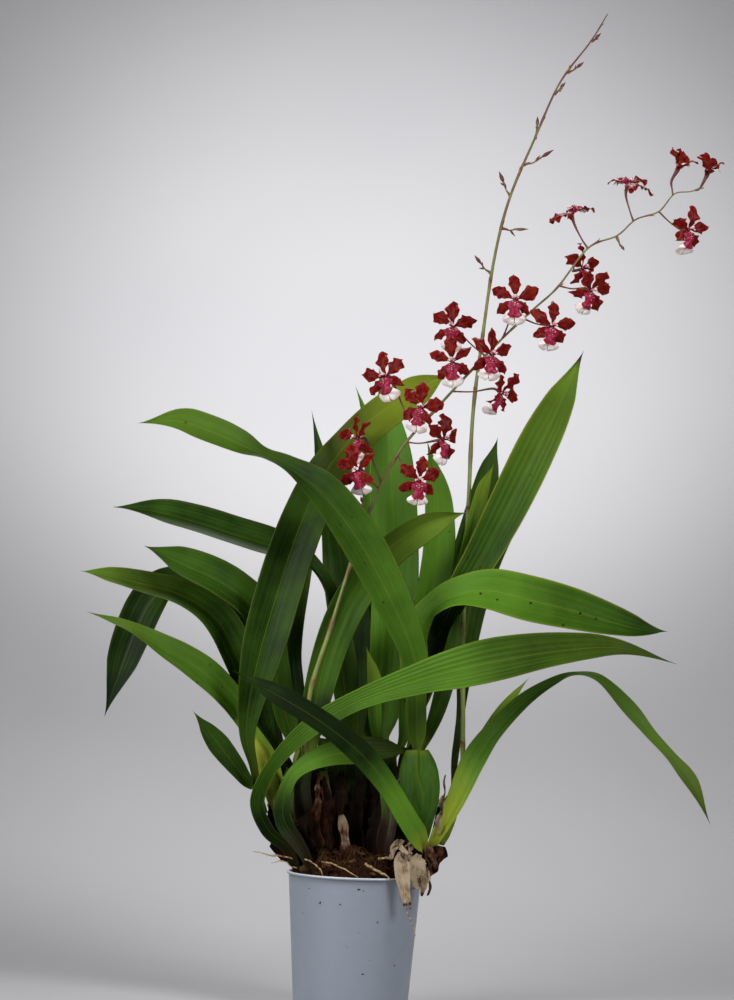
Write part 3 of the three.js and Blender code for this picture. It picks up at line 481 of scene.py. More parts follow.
def welded(node):
    """A CAD node's corners in millimetres, with doubles merged, and which of them an edge joins."""
    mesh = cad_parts[node].data
    loose = np.empty(len(mesh.vertices) * 3, np.float32)
    mesh.vertices.foreach_get("co", loose)
    order = np.empty(len(mesh.loops), np.int32)
    mesh.loops.foreach_get("vertex_index", order)
    corners, label = np.unique(np.round(loose.reshape(-1, 3) / MM, 3), axis=0, return_inverse=True)
    triangles = label.ravel()[order].reshape(-1, 3)
    joined = np.zeros((len(corners), len(corners)), bool)
    joined[triangles, np.roll(triangles, 1, axis=1)] = True
    return corners, joined | joined.T


def cad_rings(node):
    """A lofted CAD node as its rings from foot to tip, and its tip. Its foot and its tip are the two corners
    that are the most edges apart, the foot being the nearer to the pot's mouth, and a ring is the corners
    that are equally many edges from the foot."""
    corners, joined = welded(node)
    steps = np.full(joined.shape, -1)
    reached = np.eye(len(corners), dtype=bool)
    for step in range(len(corners)):
        steps[reached & (steps < 0)] = step
        if steps.min() >= 0:
            break
        reached = (reached.astype(np.float32) @ joined) > 0
    foot, tip = np.unravel_index(steps.argmax(), steps.shape)
    if np.linalg.norm(corners[tip] - POT_MOUTH) < np.linalg.norm(corners[foot] - POT_MOUTH):
        foot, tip = tip, foot
    return np.array([corners[steps[foot] == ring] for ring in range(1, steps[foot, tip])]), corners[tip]


def blade_rows(node):
    """A CAD blade's rows from foot to tip: midrib, half width and rise of the edges above the midrib. In each
    ring the two corners that lie furthest apart are the edges, and half keeps to the same edge throughout."""
    rings, tip = cad_rings(node)
    apart = np.linalg.norm(rings[:, :, None] - rings[:, None], axis=-1).reshape(len(rings), -1)
    one, other = np.divmod(apart.argmax(1), 4)
    each = np.arange(len(rings))
    left, right = rings[each, one], rings[each, other]
    rib = (rings.sum(1) - left - right) / 2
    half, rise = (left - right) / 2, (left + right) / 2 - rib
    same = np.sign(np.sum(half[1:] * half[:-1], axis=1))
    half *= np.cumprod([1.0, *same])[:, None]
    return np.vstack([rib, tip]), np.vstack([half, half[-1] * 0.02]), np.vstack([rise, rise[-1] * 0.02])


def oval_rows(node):
    """A CAD bulb's rows from foot to tip: its middle, and its half width and half depth as vectors."""
    rings, _ = cad_rings(node)
    middle = rings.mean(1)
    ahead = unit(np.gradient(middle, axis=0))
    front = unit(FRONT - (ahead @ FRONT)[:, None] * ahead)
    across = np.cross(ahead, front)
    reach = rings - middle[:, None]
    wide = np.abs(np.einsum("rsk,rk->rs", reach, across)).max(1)
    deep = np.abs(np.einsum("rsk,rk->rs", reach, front)).max(1)
    return middle, across * wide[:, None], front * deep[:, None]


# ---------------------------------------------------------------- materials


def fill(made, inputs):
    """Gives each socket of a node, by its name or number, a value or the output that is linked to it."""
    for key, value in inputs.items():
        if isinstance(value, bpy.types.NodeSocket):
            made.id_data.links.new(value, made.inputs[key])
        else:
            made.inputs[key].default_value = value


def add_node(tree, kind, inputs=(), **settings):
    """Adds one node and gives its outputs. Settings are its own properties; inputs are its sockets, in order
    or by name or number, each with a value or with the output that is linked to it."""
    made = tree.nodes.new("ShaderNode" + kind)
    for key, value in settings.items():
        setattr(made, key, value)
    fill(made, inputs if isinstance(inputs, dict) else dict(enumerate(inputs)))
    return made.outputs


def new_material(name):
    """A material, and the function that adds a node to it."""
    material = bpy.data.materials.new(name)
    material.use_nodes = True
    return material, functools.partial(add_node, material.node_tree)


def shaded(material, relief=None, **sockets):
    """The material, once the sockets of its Principled shader are filled. Relief is the height of its
    surface, from 0 to 1, how strongly that shows, and the millimetres that it stands for."""
    tree = material.node_tree
    if relief:
        height, strength, depth = relief
        inputs = {"Strength": strength, "Distance": depth * MM, "Height": height}
        sockets["Normal"] = add_node(tree, "Bump", inputs)[0]
    named = {key.replace("_", " "): value for key, value in sockets.items()}
    fill(tree.nodes["Principled BSDF"], named)
    return material


def per(size):
    """A texture's scale for a pattern whose parts are this many millimetres across."""
    return 1 / (size * MM)


def leaf_material(looks):
    """Orchid leaf: a thin green blade under a smooth waxy cuticle, so it has a soft satin gloss. Its parallel
    veins stand 1.3 mm apart, it yellows at the foot, the margin and the tip, and dries to brown."""
    material, add = new_material("waxy_orchid_leaf")
    place = add("TexCoord")
    fields = {
        name: add("Attribute", attribute_name=name)["Fac"]
        for name in ("fresh", "yellow", "dry", "under", "spots")
    }
    surface = add("SeparateXYZ", [place["UV"]])[0]
    # Streaks follow the veins: fine across the blade, long along it.
    stretch = add("Mapping", {"Vector": place["UV"], "Scale": (38.0, 1.6, 1.0)})[0]
    streaks = add("TexNoise", {"Vector": stretch, "Scale": 1.0, "Detail": 4.0})[0]
    clouds = add("TexNoise", {"Vector": place["Object"], "Scale": per(38), "Detail": 3.0})[0]
    turns = add("Math", [surface, 30 * TAU], operation="MULTIPLY")[0]
    veins = add("Math", [turns], operation="SINE")[0]
    lively = add("MapRange", [streaks, 0.3, 0.7, -0.1, 0.1])[0]
    cloudy = add("MapRange", [clouds, 0.3, 0.7, -0.12, 0.12])[0]
    mixed = add("Math", [lively, cloudy])[0]
    veined = add("Math", [veins, 0.05, mixed], operation="MULTIPLY_ADD")[0]
    # The share of young, lit green against the deep, shaded one paints light and shade along each blade as
    # well as its age.
    fresh = add("Math", [fields["fresh"], veined], use_clamp=True)[0]
    green = add("Mix", {0: fresh, 6: looks.deep, 7: looks.fresh}, data_type="RGBA")[2]
    # The under side is paler and duller than the upper.
    pale = add("Math", [fields["under"], 0.12], operation="MULTIPLY")[0]
    backed = add("Mix", {0: pale, 6: green, 7: looks.under}, data_type="RGBA")[2]
    # The midrib is a pale line a fiftieth of the blade wide.
    off_middle = add("Math", [surface, 0.5], operation="SUBTRACT")[0]
    near_middle = add("Math", [off_middle], operation="ABSOLUTE")[0]
    midrib = add("MapRange", [near_middle, 0.004, 0.014, 0.16, 0.0])[0]
    paler = add("Math", [fields["yellow"], midrib], use_clamp=True)[0]
    yellowed = add("Mix", {0: paler, 6: backed, 7: looks.yellow}, data_type="RGBA")[2]
    # Spots of 1 to 2 mm, scattered 16 mm apart.
    cells = add("TexVoronoi", {"Vector": place["Object"], "Scale": per(16)})["Distance"]
    dots = add("MapRange", [cells, 0.05, 0.1, 1.0, 0.0])[0]
    spotted = add("Math", [dots, fields["spots"]], operation="MULTIPLY")[0]
    scorched = add("Math", [spotted, fields["dry"]], operation="MAXIMUM")[0]
    final = add("Mix", {0: scorched, 6: yellowed, 7: looks.dry}, data_type="RGBA")[2]
    gloss = add("MapRange", [clouds, 0.3, 0.7, 0.34, 0.46])[0]
    height = add("Math", [streaks, 1.6, veins], operation="MULTIPLY_ADD")[0]
    return shaded(
        material, Base_Color=final, Roughness=gloss, relief=(height, 0.5, 0.12), IOR=1.4,
        Specular_IOR_Level=0.15,
    )


def flesh_material(looks):
    """Pseudobulb and green sheath: firm, smooth plant flesh with lengthwise fibres 2 mm apart, green to
    yellow, browning where a sheath has rubbed it."""
    material, add = new_material("firm_pseudobulb_flesh")
    place = add("TexCoord")["Object"]
    fields = {name: add("Attribute", attribute_name=name)["Fac"] for name in ("fresh", "yellow", "dry")}
    stretch = add("Mapping", {"Vector": place, "Scale": (1.0, 1.0, 0.12)})[0]
    fibres = add("TexNoise", {"Vector": stretch, "Scale": per(2.2), "Detail": 3.0})[0]
    clouds = add("TexNoise", {"Vector": place, "Scale": per(9), "Detail": 4.0})[0]
    lively = add("MapRange", [fibres, 0.3, 0.7, -0.14, 0.14])[0]
    # The share of young, lit green is kept low in the bulbs and old leaf bases inside the clump, to paint the
    # shade there.
    fresh = add("Math", [fields["fresh"], lively], use_clamp=True)[0]
    green = add("Mix", {0: fresh, 6: looks.deep, 7: looks.fresh}, data_type="RGBA")[2]
    yellowed = add("Mix", {0: fields["yellow"], 6: green, 7: looks.yellow}, data_type="RGBA")[2]
    rubbed = add("MapRange", [clouds, 0.52, 0.72, 0.0, 0.55])[0]
    browned = add("Math", [rubbed, fields["dry"], fields["dry"]], operation="MULTIPLY_ADD", use_clamp=True)[0]
    final = add("Mix", {0: browned, 6: yellowed, 7: looks.dried_flesh}, data_type="RGBA")[2]
    return shaded(
        material, Base_Color=final, relief=(fibres, 0.5, 0.2), IOR=1.45, Specular_IOR_Level=0.15,
        Roughness=0.45,
    )


def husk_material(looks):
    """Dry husk: a dead sheath as thin as paper, matt, with fibres 0.8 mm apart along it, tan where it is
    bleached, dark brown where it is damp or split, and near black low in the clump, which is painted shade."""
    material, add = new_material("papery_dry_husk")
    place = add("TexCoord")
    dark = add("Attribute", attribute_name="dark")["Fac"]
    stretch = add("Mapping", {"Vector": place["UV"], "Scale": (16.0, 1.2, 1.0)})[0]
    fibres = add("TexNoise", {"Vector": stretch, "Scale": 1.0, "Detail": 5.0})[0]
    clouds = add("TexNoise", {"Vector": place["Object"], "Scale": per(7), "Detail": 4.0})[0]
    both = add("Math", [fibres, clouds])[0]
    shade = add("MapRange", [both, 0.75, 1.25, -0.25, 0.25])[0]
    damp = add("Math", [shade, dark], use_clamp=True)[0]
    # Tan turns to fox brown over the first half, then to black-brown, which on the husks low in the clump is
    # painted shade.
    first = add("MapRange", [damp, 0.1, 0.55])[0]
    second = add("MapRange", [damp, 0.55, 0.95])[0]
    brown = add("Mix", {0: first, 6: looks.husk, 7: looks.brown_husk}, data_type="RGBA")[2]
    tint = add("Mix", {0: second, 6: brown, 7: looks.damp_and_shaded_husk}, data_type="RGBA")[2]
    return shaded(
        material, Base_Color=tint, relief=(fibres, 0.8, 0.3), IOR=1.4, Roughness=0.85, Specular_IOR_Level=0.1
    )


def stem_material(looks):
    """Flower stem: a smooth wiry green stem, blotched with purple-brown in patches about 12 mm long."""
    material, add = new_material("wiry_flower_stem")
    place = add("TexCoord")["Object"]
    ruddy = add("Attribute", attribute_name="ruddy")["Fac"]
    blotches = add("TexNoise", {"Vector": place, "Scale": per(12), "Detail": 3.0})[0]
    patch = add("MapRange", [blotches, 0.35, 0.65, -0.25, 0.25])[0]
    share = add("Math", [patch, ruddy], use_clamp=True)[0]
    tint = add("Mix", {0: share, 6: looks.stem, 7: looks.ruddy}, data_type="RGBA")[2]
    grain = add("TexNoise", {"Vector": place, "Scale": per(1.2), "Detail": 2.0})[0]
    return shaded(material, Base_Color=tint, relief=(grain, 0.3, 0.1), IOR=1.45, Roughness=0.48)


def tepal_material(looks):
    """Tepal: soft, slightly velvety petal tissue, wine red, orange-brown along its margin and tip, with
    faint veins fanning out along it, and a painted shade that deepens it away from the margin."""
    material, add = new_material("velvety_wine_tepal")
    place = add("TexCoord")
    margin = add("Attribute", attribute_name="margin")["Fac"]
    under = add("Attribute", attribute_name="under")["Fac"]
    stretch = add("Mapping", {"Vector": place["UV"], "Scale": (14.0, 1.5, 1.0)})[0]
    veins = add("TexNoise", {"Vector": stretch, "Scale": 1.0, "Detail": 3.0})[0]
    clouds = add("TexNoise", {"Vector": place["Object"], "Scale": per(5), "Detail": 4.0})[0]
    depth = add("MapRange", [veins, 0.35, 0.65])[0]
    # The middle of a tepal is deeper than its edge: vein colour, with painted shade that deepens it away from
    # the margin.
    inner = add("Math", [margin, -0.7, depth], operation="MULTIPLY_ADD", use_clamp=True)[0]
    wine = add("Mix", {0: inner, 6: looks.wine, 7: looks.deep_wine}, data_type="RGBA")[2]
    uneven = add("MapRange", [clouds, 0.3, 0.7, -0.35, 0.35])[0]
    rim = add("Math", [margin, uneven], use_clamp=True)[0]
    edged = add("Mix", {0: rim, 6: wine, 7: looks.rust}, data_type="RGBA")[2]
    dull = add("Math", [under, 0.4], operation="MULTIPLY")[0]
    final = add("Mix", {0: dull, 6: edged, 7: looks.rust}, data_type="RGBA")[2]
    return shaded(
        material, Base_Color=final, relief=(veins, 0.5, 0.25), IOR=1.4, Specular_IOR_Level=0.16,
        Roughness=0.42,
    )


def lip_material(looks):
    """Lip and column: soft petal tissue, crimson at the waist and callus, running out to cream white with a
    pink blush; it lets a little light through."""
    material, add = new_material("soft_crimson_and_cream_lip")
    place = add("TexCoord")["Object"]
    cream = add("Attribute", attribute_name="cream")["Fac"]
    freckles = add("TexNoise", {"Vector": place, "Scale": per(1.6), "Detail": 3.0})[0]
    uneven = add("MapRange", [freckles, 0.3, 0.7, -0.2, 0.2])[0]
    share = add("Math", [cream, uneven], use_clamp=True)[0]
    sharp = add("MapRange", [share, 0.3, 0.62], interpolation_type="SMOOTHSTEP")[0]
    clouds = add("TexNoise", {"Vector": place, "Scale": per(6), "Detail": 2.0})[0]
    flush = add("MapRange", [clouds, 0.4, 0.75, 0.0, 0.55])[0]
    pale = add("Mix", {0: flush, 6: looks.cream, 7: looks.blush}, data_type="RGBA")[2]
    # Pink flecks of 1 to 2 mm lie over the crimson.
    flecks = add("TexNoise", {"Vector": place, "Scale": per(2.4), "Detail": 2.0})[0]
    fleck = add("MapRange", [flecks, 0.5, 0.66, 0.0, 0.38])[0]
    mottled = add("Mix", {0: fleck, 6: looks.crimson, 7: looks.fleck}, data_type="RGBA")[2]
    tint = add("Mix", {0: sharp, 6: mottled, 7: pale}, data_type="RGBA")[2]
    return shaded(
        material, Base_Color=tint, relief=(freckles, 0.4, 0.25), IOR=1.4, Roughness=0.5,
        Specular_IOR_Level=0.3, Subsurface_Weight=0.12, Subsurface_Scale=1.5 * MM,
    )


def pot_material(looks):
    """Polypropylene, injection moulded in blue-grey: a satin skin that is faintly uneven, with specks of bark
    dust about 1 mm across and a faint, patchy film of dust. It is darker just under the rim and inside, and a
    painted highlight runs along the rim's top edge."""
    material, add = new_material("moulded_polypropylene")
    place = add("TexCoord")["Object"]
    dirt = add("Attribute", attribute_name="dirt")["Fac"]
    worn = add("Attribute", attribute_name="worn")["Fac"]
    cells = add("TexVoronoi", {"Vector": place, "Scale": per(14)})["Distance"]
    chance = add("TexNoise", {"Vector": place, "Scale": per(40), "Detail": 1.0})[0]
    reach = add("MapRange", [chance, 0.46, 0.66, 0.0, 0.05])[0]
    speck = add("Math", [cells, reach], operation="LESS_THAN")[0]
    film = add("TexNoise", {"Vector": place, "Scale": per(11), "Detail": 5.0})[0]
    smear = add("MapRange", [film, 0.45, 0.8, 0.0, 0.05])[0]
    soiled = add("Math", [smear, dirt], use_clamp=True)[0]
    # The pale rim edge is a painted highlight.
    edge = add("Mix", {0: worn, 6: looks.plastic, 7: looks.edge}, data_type="RGBA")[2]
    dusty = add("Mix", {0: soiled, 6: edge, 7: looks.dirt}, data_type="RGBA")[2]
    most = add("Math", [speck, 0.8], operation="MULTIPLY")[0]
    final = add("Mix", {0: most, 6: dusty, 7: looks.dirt}, data_type="RGBA")[2]
    gloss = add("MapRange", [film, 0.3, 0.7, 0.34, 0.46])[0]
    swells = add("TexNoise", {"Vector": place, "Scale": per(25), "Detail": 1.0})[0]
    return shaded(material, Base_Color=final, Roughness=gloss, relief=(swells, 0.25, 0.3), IOR=1.49)


def bark_material(looks):
    """Orchid bark and moss: matt, crumbly and damp, dark brown with redder and paler grains of 2 to 3 mm, and
    a green cast of moss in patches."""
    material, add = new_material("damp_bark_and_moss")
    place = add("TexCoord")["Object"]
    pale = add("Attribute", attribute_name="pale")["Fac"]
    grains = add("TexNoise", {"Vector": place, "Scale": per(2.5), "Detail": 6.0})[0]
    shade = add("MapRange", [grains, 0.35, 0.7, 0.0, 0.9])[0]
    brown = add("Mix", {0: shade, 6: looks.bark, 7: looks.red_bark}, data_type="RGBA")[2]
    bleached = add("Mix", {0: pale, 6: brown, 7: looks.pale_bark}, data_type="RGBA")[2]
    patches = add("TexNoise", {"Vector": place, "Scale": per(22), "Detail": 4.0})[0]
    cover = add("MapRange", [patches, 0.55, 0.7, 0.0, 0.5])[0]
    final = add("Mix", {0: cover, 6: bleached, 7: looks.moss}, data_type="RGBA")[2]
    return shaded(
        material, Base_Color=final, relief=(grains, 0.9, 0.8), IOR=1.4, Roughness=0.92, Specular_IOR_Level=0.1
    )


def root_material(looks):
    """Orchid root: a corky, matt, pale tan skin over a wiry core, browner in patches of 3 mm."""
    material, add = new_material("corky_root_skin")
    place = add("TexCoord")["Object"]
    patches = add("TexNoise", {"Vector": place, "Scale": per(3), "Detail": 4.0})[0]
    shade = add("MapRange", [patches, 0.38, 0.62])[0]
    tint = add("Mix", {0: shade, 6: looks.root, 7: looks.root_brown}, data_type="RGBA")[2]
    return shaded(material, Base_Color=tint, relief=(patches, 0.6, 0.2), IOR=1.4, Roughness=0.8)


def wall_material(looks):
    """Painted studio sweep: matt pale grey paint, faintly clouded. Its back is clear, so that the plant is
    also seen from behind it, and it fades out far to the sides and the front."""
    material, add = new_material("matt_studio_paint")
    place = add("TexCoord")["Object"]
    clouds = add("TexNoise", {"Vector": place, "Scale": per(500), "Detail": 2.0})[0]
    shade = add("MapRange", [clouds, 0.3, 0.7])[0]
    tint = add("Mix", {0: shade, 6: looks.wall, 7: looks.wall_shade}, data_type="RGBA")[2]
    axes = add("SeparateXYZ", [place])
    aside = add("Math", [axes["X"]], operation="ABSOLUTE")[0]
    front = add("Math", [axes["Y"], -1.0], operation="MULTIPLY")[0]
    away = add("Math", [aside, front], operation="MAXIMUM")[0]
    gone = add("MapRange", [away, FADE_FROM, FADE_TO], interpolation_type="SMOOTHSTEP")[0]
    back = add("NewGeometry")["Backfacing"]
    hidden = add("Math", [back, gone], operation="MAXIMUM")[0]
    clear = add("BsdfTransparent")[0]
    nodes = shaded(material, Base_Color=tint, Roughness=0.9).node_tree.nodes
    sided = add("MixShader", [hidden, nodes["Principled BSDF"].outputs[0], clear])[0]
    fill(nodes["Material Output"], {"Surface": sided})
    return material


# ---------------------------------------------------------------- settings


class PotSettings(bpy.types.PropertyGroup):
    """Sizes and colours of the pot."""

    wall: amount("Wall", 1.4, "Thickness of the pot's wall in millimetres", 0.5, 5)
    rim_lip: amount("Rim lip", 1.8, "How far the rim stands out past the wall, in millimetres", 0.5, 5)
    rim_height: amount("Rim height", 2.4, "Height of the rim's band in millimetres", 1, 10)
    segments: number("Segments", 144, "Sides round the pot", 24, 256)
    plastic: colour("Plastic", "#868e99", "Colour of the moulded plastic")
    # The rim edge's colour paints a highlight along the top of the rim.
    edge: colour("Rim edge", "#d5dae0", "Colour of the rim's worn edge")
    dirt: colour("Dirt", "#33281f", "Colour of the bark dust on it")


class MixSettings(bpy.types.PropertyGroup):
    """Sizes and colours of the bark mix and roots."""

    chips: number("Chips", 230, "Number of bark chips", 10, 500)
    fibres: number("Fibres", 420, "Number of moss and root fibres", 10, 900)
    chip_size: amount("Chip size", 7, "Usual length of a bark chip in millimetres", 2, 20)
    bark: colour("Bark", "#120a06", "Damp bark")
    red_bark: colour("Red bark", "#3c1f10", "Redder grains in the bark")
    pale_bark: colour("Pale bark", "#6b4c30", "Dry, bleached bark")
    moss: colour("Moss", "#2c2c0e", "Moss on the bark")
    root: colour("Root", "#b59f74", "Dry root skin")
    root_brown: colour("Root brown", "#6e4a2a", "Browner patches of root")


class GrowthSettings(bpy.types.PropertyGroup):
    """Sizes and colours of the pseudobulbs, rhizome and sheaths."""

    ridge: amount("Ridge", 0.04, "Depth of a bulb's ridges as a share of its radius", 0, 0.3)
    sheath: amount("Sheath", 0.6, "Thickness of a sheath in millimetres", 0.2, 2)
    deep: colour("Deep green", "#122606", "Shaded or old green flesh")
    fresh: colour("Fresh green", "#4f7a22", "Young green flesh")
    yellow: colour("Yellow", "#a3a22c", "Yellowing flesh")
    dried_flesh: colour("Dried flesh", "#24130a", "Old flesh and leaf bases")
    husk: colour("Husk", "#a5937a", "Bleached dry husk")
    brown_husk: colour("Brown husk", "#422615", "Fox brown husk")
    # The darkest husk colour is near black: besides damp husk, it paints the shade low in the clump.
    damp_and_shaded_husk: colour("Damp husk", "#120a05", "Damp or old husk")


class LeafSettings(bpy.types.PropertyGroup):
    """Sizes and colours of the leaves."""

    thickness: amount("Thickness", 0.9, "Thickness of a blade at its midrib, in millimetres", 0.3, 2)
    fold: amount("Fold", 1.45, "Depth of a blade's fold as a share of its CAD fold", 0, 3)
    wave: amount("Margin wave", 0.9, "How far a blade's margins wave, in millimetres", 0, 4)
    stations: number("Stations", 96, "Rings along a blade", 12, 200)
    deep: colour("Deep green", "#0d2003", "Shaded or old leaf")
    fresh: colour("Fresh green", "#588422", "Young, lit leaf")
    under: colour("Under side", "#3a6418", "Under side of the blade")
    yellow: colour("Yellow", "#a6b036", "Yellowing leaf")
    dry: colour("Dry", "#23150c", "Scorched tip and spots")


class SpikeSettings(bpy.types.PropertyGroup):
    """Sizes and colours of the flower spikes."""

    node_gap: amount("Node gap", 52, "Distance between the nodes of a spike, in millimetres", 10, 120)
    bract: amount("Bract", 9, "Length of the bract at a node, in millimetres", 2, 30)
    stem: colour("Stem", "#84924a", "Green stem")
    ruddy: colour("Ruddy stem", "#643028", "Purple-brown stem")
    husk: colour("Bract", "#97794e", "Dry bract")
    brown_husk: colour("Brown bract", "#8a6237", "Browner bract")
    damp_and_shaded_husk: colour("Old bract", "#4c3423", "Old bract")


class FlowerSettings(bpy.types.PropertyGroup):
    """Sizes and colours of the flowers."""

    thickness: amount("Thickness", 0.5, "Thickness of a tepal in millimetres", 0.2, 2)
    wave: amount("Margin wave", 2.6, "How far a tepal's margins wave, in millimetres", 0, 4)
    wine: colour("Wine", "#840d0a", "Colour of a tepal")
    # The deep wine is the veins' colour and also paints shade over a tepal's middle.
    deep_wine: colour("Deep wine", "#330203", "Its veins")
    rust: colour("Rust", "#903016", "Its margins and under side")
    crimson: colour("Crimson", "#8a0a2e", "Waist and callus of the lip")
    fleck: colour("Flecks", "#d4688a", "Flecks on the crimson")
    cream: colour("Cream", "#fdf3ee", "Lobes of the lip")
    blush: colour("Blush", "#e0a0a4", "Pink on the lobes")


class StageSettings(bpy.types.PropertyGroup):
    """The sweep, lights and camera."""

    wall: colour("Wall", "#c3c2c4", "Pale grey paint")
    wall_shade: colour("Wall shade", "#bebdc0", "Its faintly darker clouds")
    air: colour("Air", "#c3c8d2", "Light from all round")
    backdrop: colour("Backdrop", "#aeb0b6", "What is seen past the sweep")
    key_power: power("Key", 42, "Power of the key light")
    fill_power: power("Fill", 30, "Power of the fill light")
    pool_power: power("Pool", 28, "Power of the light on the floor close behind the pot")
    top_power: power("Top", 60, "Power of the light from above")
    wall_power: power("Wall light", 159, "Power of the light on the wall")
    floor_power: power("Floor light", 31, "Power of the light on the floor behind")


# ---------------------------------------------------------------- pieces


class ORCHID_OT_pot(bpy.types.Operator):
    """Build the pot"""

    bl_idname = "orchid.pot"
    bl_label = "Pot"

    def execute(self, context):
        """A lathe: a profile of [radius, height] carried round the pot's axis. The wall is straight from foot
        to rim, the rim is a rolled band, and the floor is let up inside a low foot ring."""
        looks = context.scene.orchid_pot
        corners, _ = welded("pot")
        radius = np.linalg.norm(corners[:, :2], axis=1)
        top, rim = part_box("pot")[1].z / MM, radius.max()
        foot = radius[corners[:, 2] < 1].max()
        wall_top, lip_low = rim - looks.rim_lip, top - looks.rim_height
        bulge, edge_round = 0.7, 0.8  # radii of the rim's roll and of the edge under the wall
        base, floor = 1.6, 3.0  # heights of the raised base and of the floor inside
        roll = np.linspace(-0.5, 0.5, 9) * math.pi
        band = looks.rim_height / 2
        outer = np.stack([rim - bulge + bulge * np.cos(roll), lip_low + band + band * np.sin(roll)], axis=1)
        slope = np.linspace(0, 1, 24)[:, None]
        quarter = roll[4:]
        edge = np.stack([foot + edge_round * np.sin(quarter), edge_round * (1 - np.cos(quarter))], axis=1)
        wall = np.array([foot + edge_round, edge_round]) * (1 - slope) + np.array([wall_top, lip_low]) * slope
        inside_top = np.array([wall_top - looks.wall, top - 0.2])
        inside_foot = np.array([foot - looks.wall, floor])
        inside = inside_top * (1 - slope) + inside_foot * slope
        profile = np.vstack([
            [[2, base], [foot - 7, base], [foot - 6, 0.2], [foot - 4.6, 0]], edge, wall[1:], outer,
            [[rim - 1.2, top]], inside, [[2, floor]],
        ])
        angle = np.arange(looks.segments) * TAU / looks.segments
        reach, height = profile[:, :1], profile[:, 1:]
        rings = np.stack(np.broadcast_arrays(reach * np.cos(angle), reach * np.sin(angle), height), axis=-1)
        # It is darker just under the rim, fading down over 10 mm, and inside the wall.
        below_rim = 0.35 * ease(rings[..., 2], top - 12, top - 2) * (rings[..., 2] < lip_low + 0.2)
        inner = np.arange(len(profile))[:, None] >= len(profile) - len(inside) - 1
        dirt = np.where(inner, 0.7, below_rim * 0.5)
        # A pale line along the rim's top edge is a painted highlight.
        worn = ease(rings[..., 2], top - 1.3, top - 0.5) * (reach > rim - 1.5)
        skin = pot_material(looks)
        make_piece("pot_shell", [tube(rings, dirt=dirt, worn=worn)], skin, ["pot"])
        rng = np.random.default_rng(CRUMB_SEED)
        crumbs = []
        for turn, height, size in WALL_CRUMBS:
            away = np.interp(height, [0, lip_low], [foot + edge_round, wall_top])
            way = np.array([math.sin(math.radians(turn)), -math.cos(math.radians(turn)), 0])
            crumbs.append(chip(way * away + [0, 0, height], size, rng))
        make_piece("bark_crumbs", crumbs, bark_material(context.scene.orchid_mix))
        return {"FINISHED"}


class ORCHID_OT_mix(bpy.types.Operator):
    """Build the bark mix, its chips, fibres and roots"""

    bl_idname = "orchid.mix"
    bl_label = "Bark mix and roots"

    def execute(self, context):
        looks = context.scene.orchid_mix
        rng = np.random.default_rng(MIX_SEED)
        corners, _ = welded("growing_medium")
        radius = np.linalg.norm(corners[:, :2], axis=1)
        top = corners[:, 2].max()
        edge = corners[radius > radius.max() - 0.5, 2].max()
        rim = radius[corners[:, 2] > edge - 1].max()

        def height(x, y):
            """The mound: flat in the middle and falling to the wall, as one less the fourth power of the
            share of the radius, with lumps of 15 and 5 mm."""
            share = np.hypot(x, y) / rim
            spot = np.stack([x, y, 0 * x], axis=-1)
            lumps = 2.2 * ripple(spot, 15, 1) + 0.9 * ripple(spot, 5, 2)
            return edge + (top - edge) * (1 - share.clip(0, 1) ** 4) + lumps * (1 - share**6).clip(0.1, 1) - 1

        sides, floor = 120, 5.0
        angle = np.arange(sides) * TAU / sides
        reach = rim * np.sqrt(np.linspace(1, 0.0004, 44))[:, None]
        x, y = reach * np.cos(angle), reach * np.sin(angle)
        mound = np.stack([x, y, height(x, y)], axis=-1)
        foot = np.stack([x[:1] * 0.8, y[:1] * 0.8, np.full((1, sides), floor)], axis=-1)
        bark = bark_material(looks)
        heap = tube(np.concatenate([foot, mound]), pale=0.0)
        make_piece("bark_mix_heap", [heap], bark, ["growing_medium"])

        chips = []
        for _ in range(looks.chips):
            away, turn = rim * 0.97 * math.sqrt(rng.uniform()), rng.uniform(0, TAU)
            spot = np.array([away * math.cos(turn), away * math.sin(turn), 0])
            spot[2] = height(spot[0], spot[1]) + rng.uniform(-0.5, 1.5)
            chips.append(chip(spot, looks.chip_size * rng.uniform(0.5, 1.5), rng))
        make_piece("bark_chips", chips, bark)

        fibres = []
        for _ in range(looks.fibres):
            away, turn = rim * 0.98 * math.sqrt(rng.uniform(0.05, 1)), rng.uniform(0, TAU)
            start = np.array([away * math.cos(turn), away * math.sin(turn)])
            way = rng.uniform(0, TAU)
            share = np.linspace(0, 1, 9)
            bend = way + rng.uniform(-2.5, 2.5) * share
            run = rng.uniform(8, 26) * share
            flat = start + np.stack([np.cos(bend) * run, np.sin(bend) * run], axis=1)
            flat *= np.minimum(1, (rim - 1) / np.linalg.norm(flat, axis=1).clip(1))[:, None]
            lift = 0.8 + rng.uniform(0.5, 4) * np.sin(math.pi * share)
            line = np.column_stack([flat, height(flat[:, 0], flat[:, 1]) + lift])
            pale = 0.15 + 0.85 * (rng.uniform() < 0.35) * rng.uniform(0.3, 1)
            fibres.append(stem(line, np.interp(share, [0, 0.7, 1], [0.7, 0.5, 0.15]), 4, pale=0.7 * pale))
        make_piece("moss_and_fibres", fibres, bark)

        roots = []
        for index, (line, width) in enumerate(ROOT_LINES):
            places = np.linspace(0, len(line) - 1, 26)
            middle = wobbled(through(line, places), 0.6, 12, 40 + 3 * index)
            taper = width * (1 - 0.55 * ease(places / places[-1], 0.5, 1.0))
            roots.append(stem(middle, taper * (1 + 0.12 * ripple(middle, 3, 70 + index)), 8))
        make_piece("aerial_roots", roots, root_material(looks))
        return {"FINISHED"}


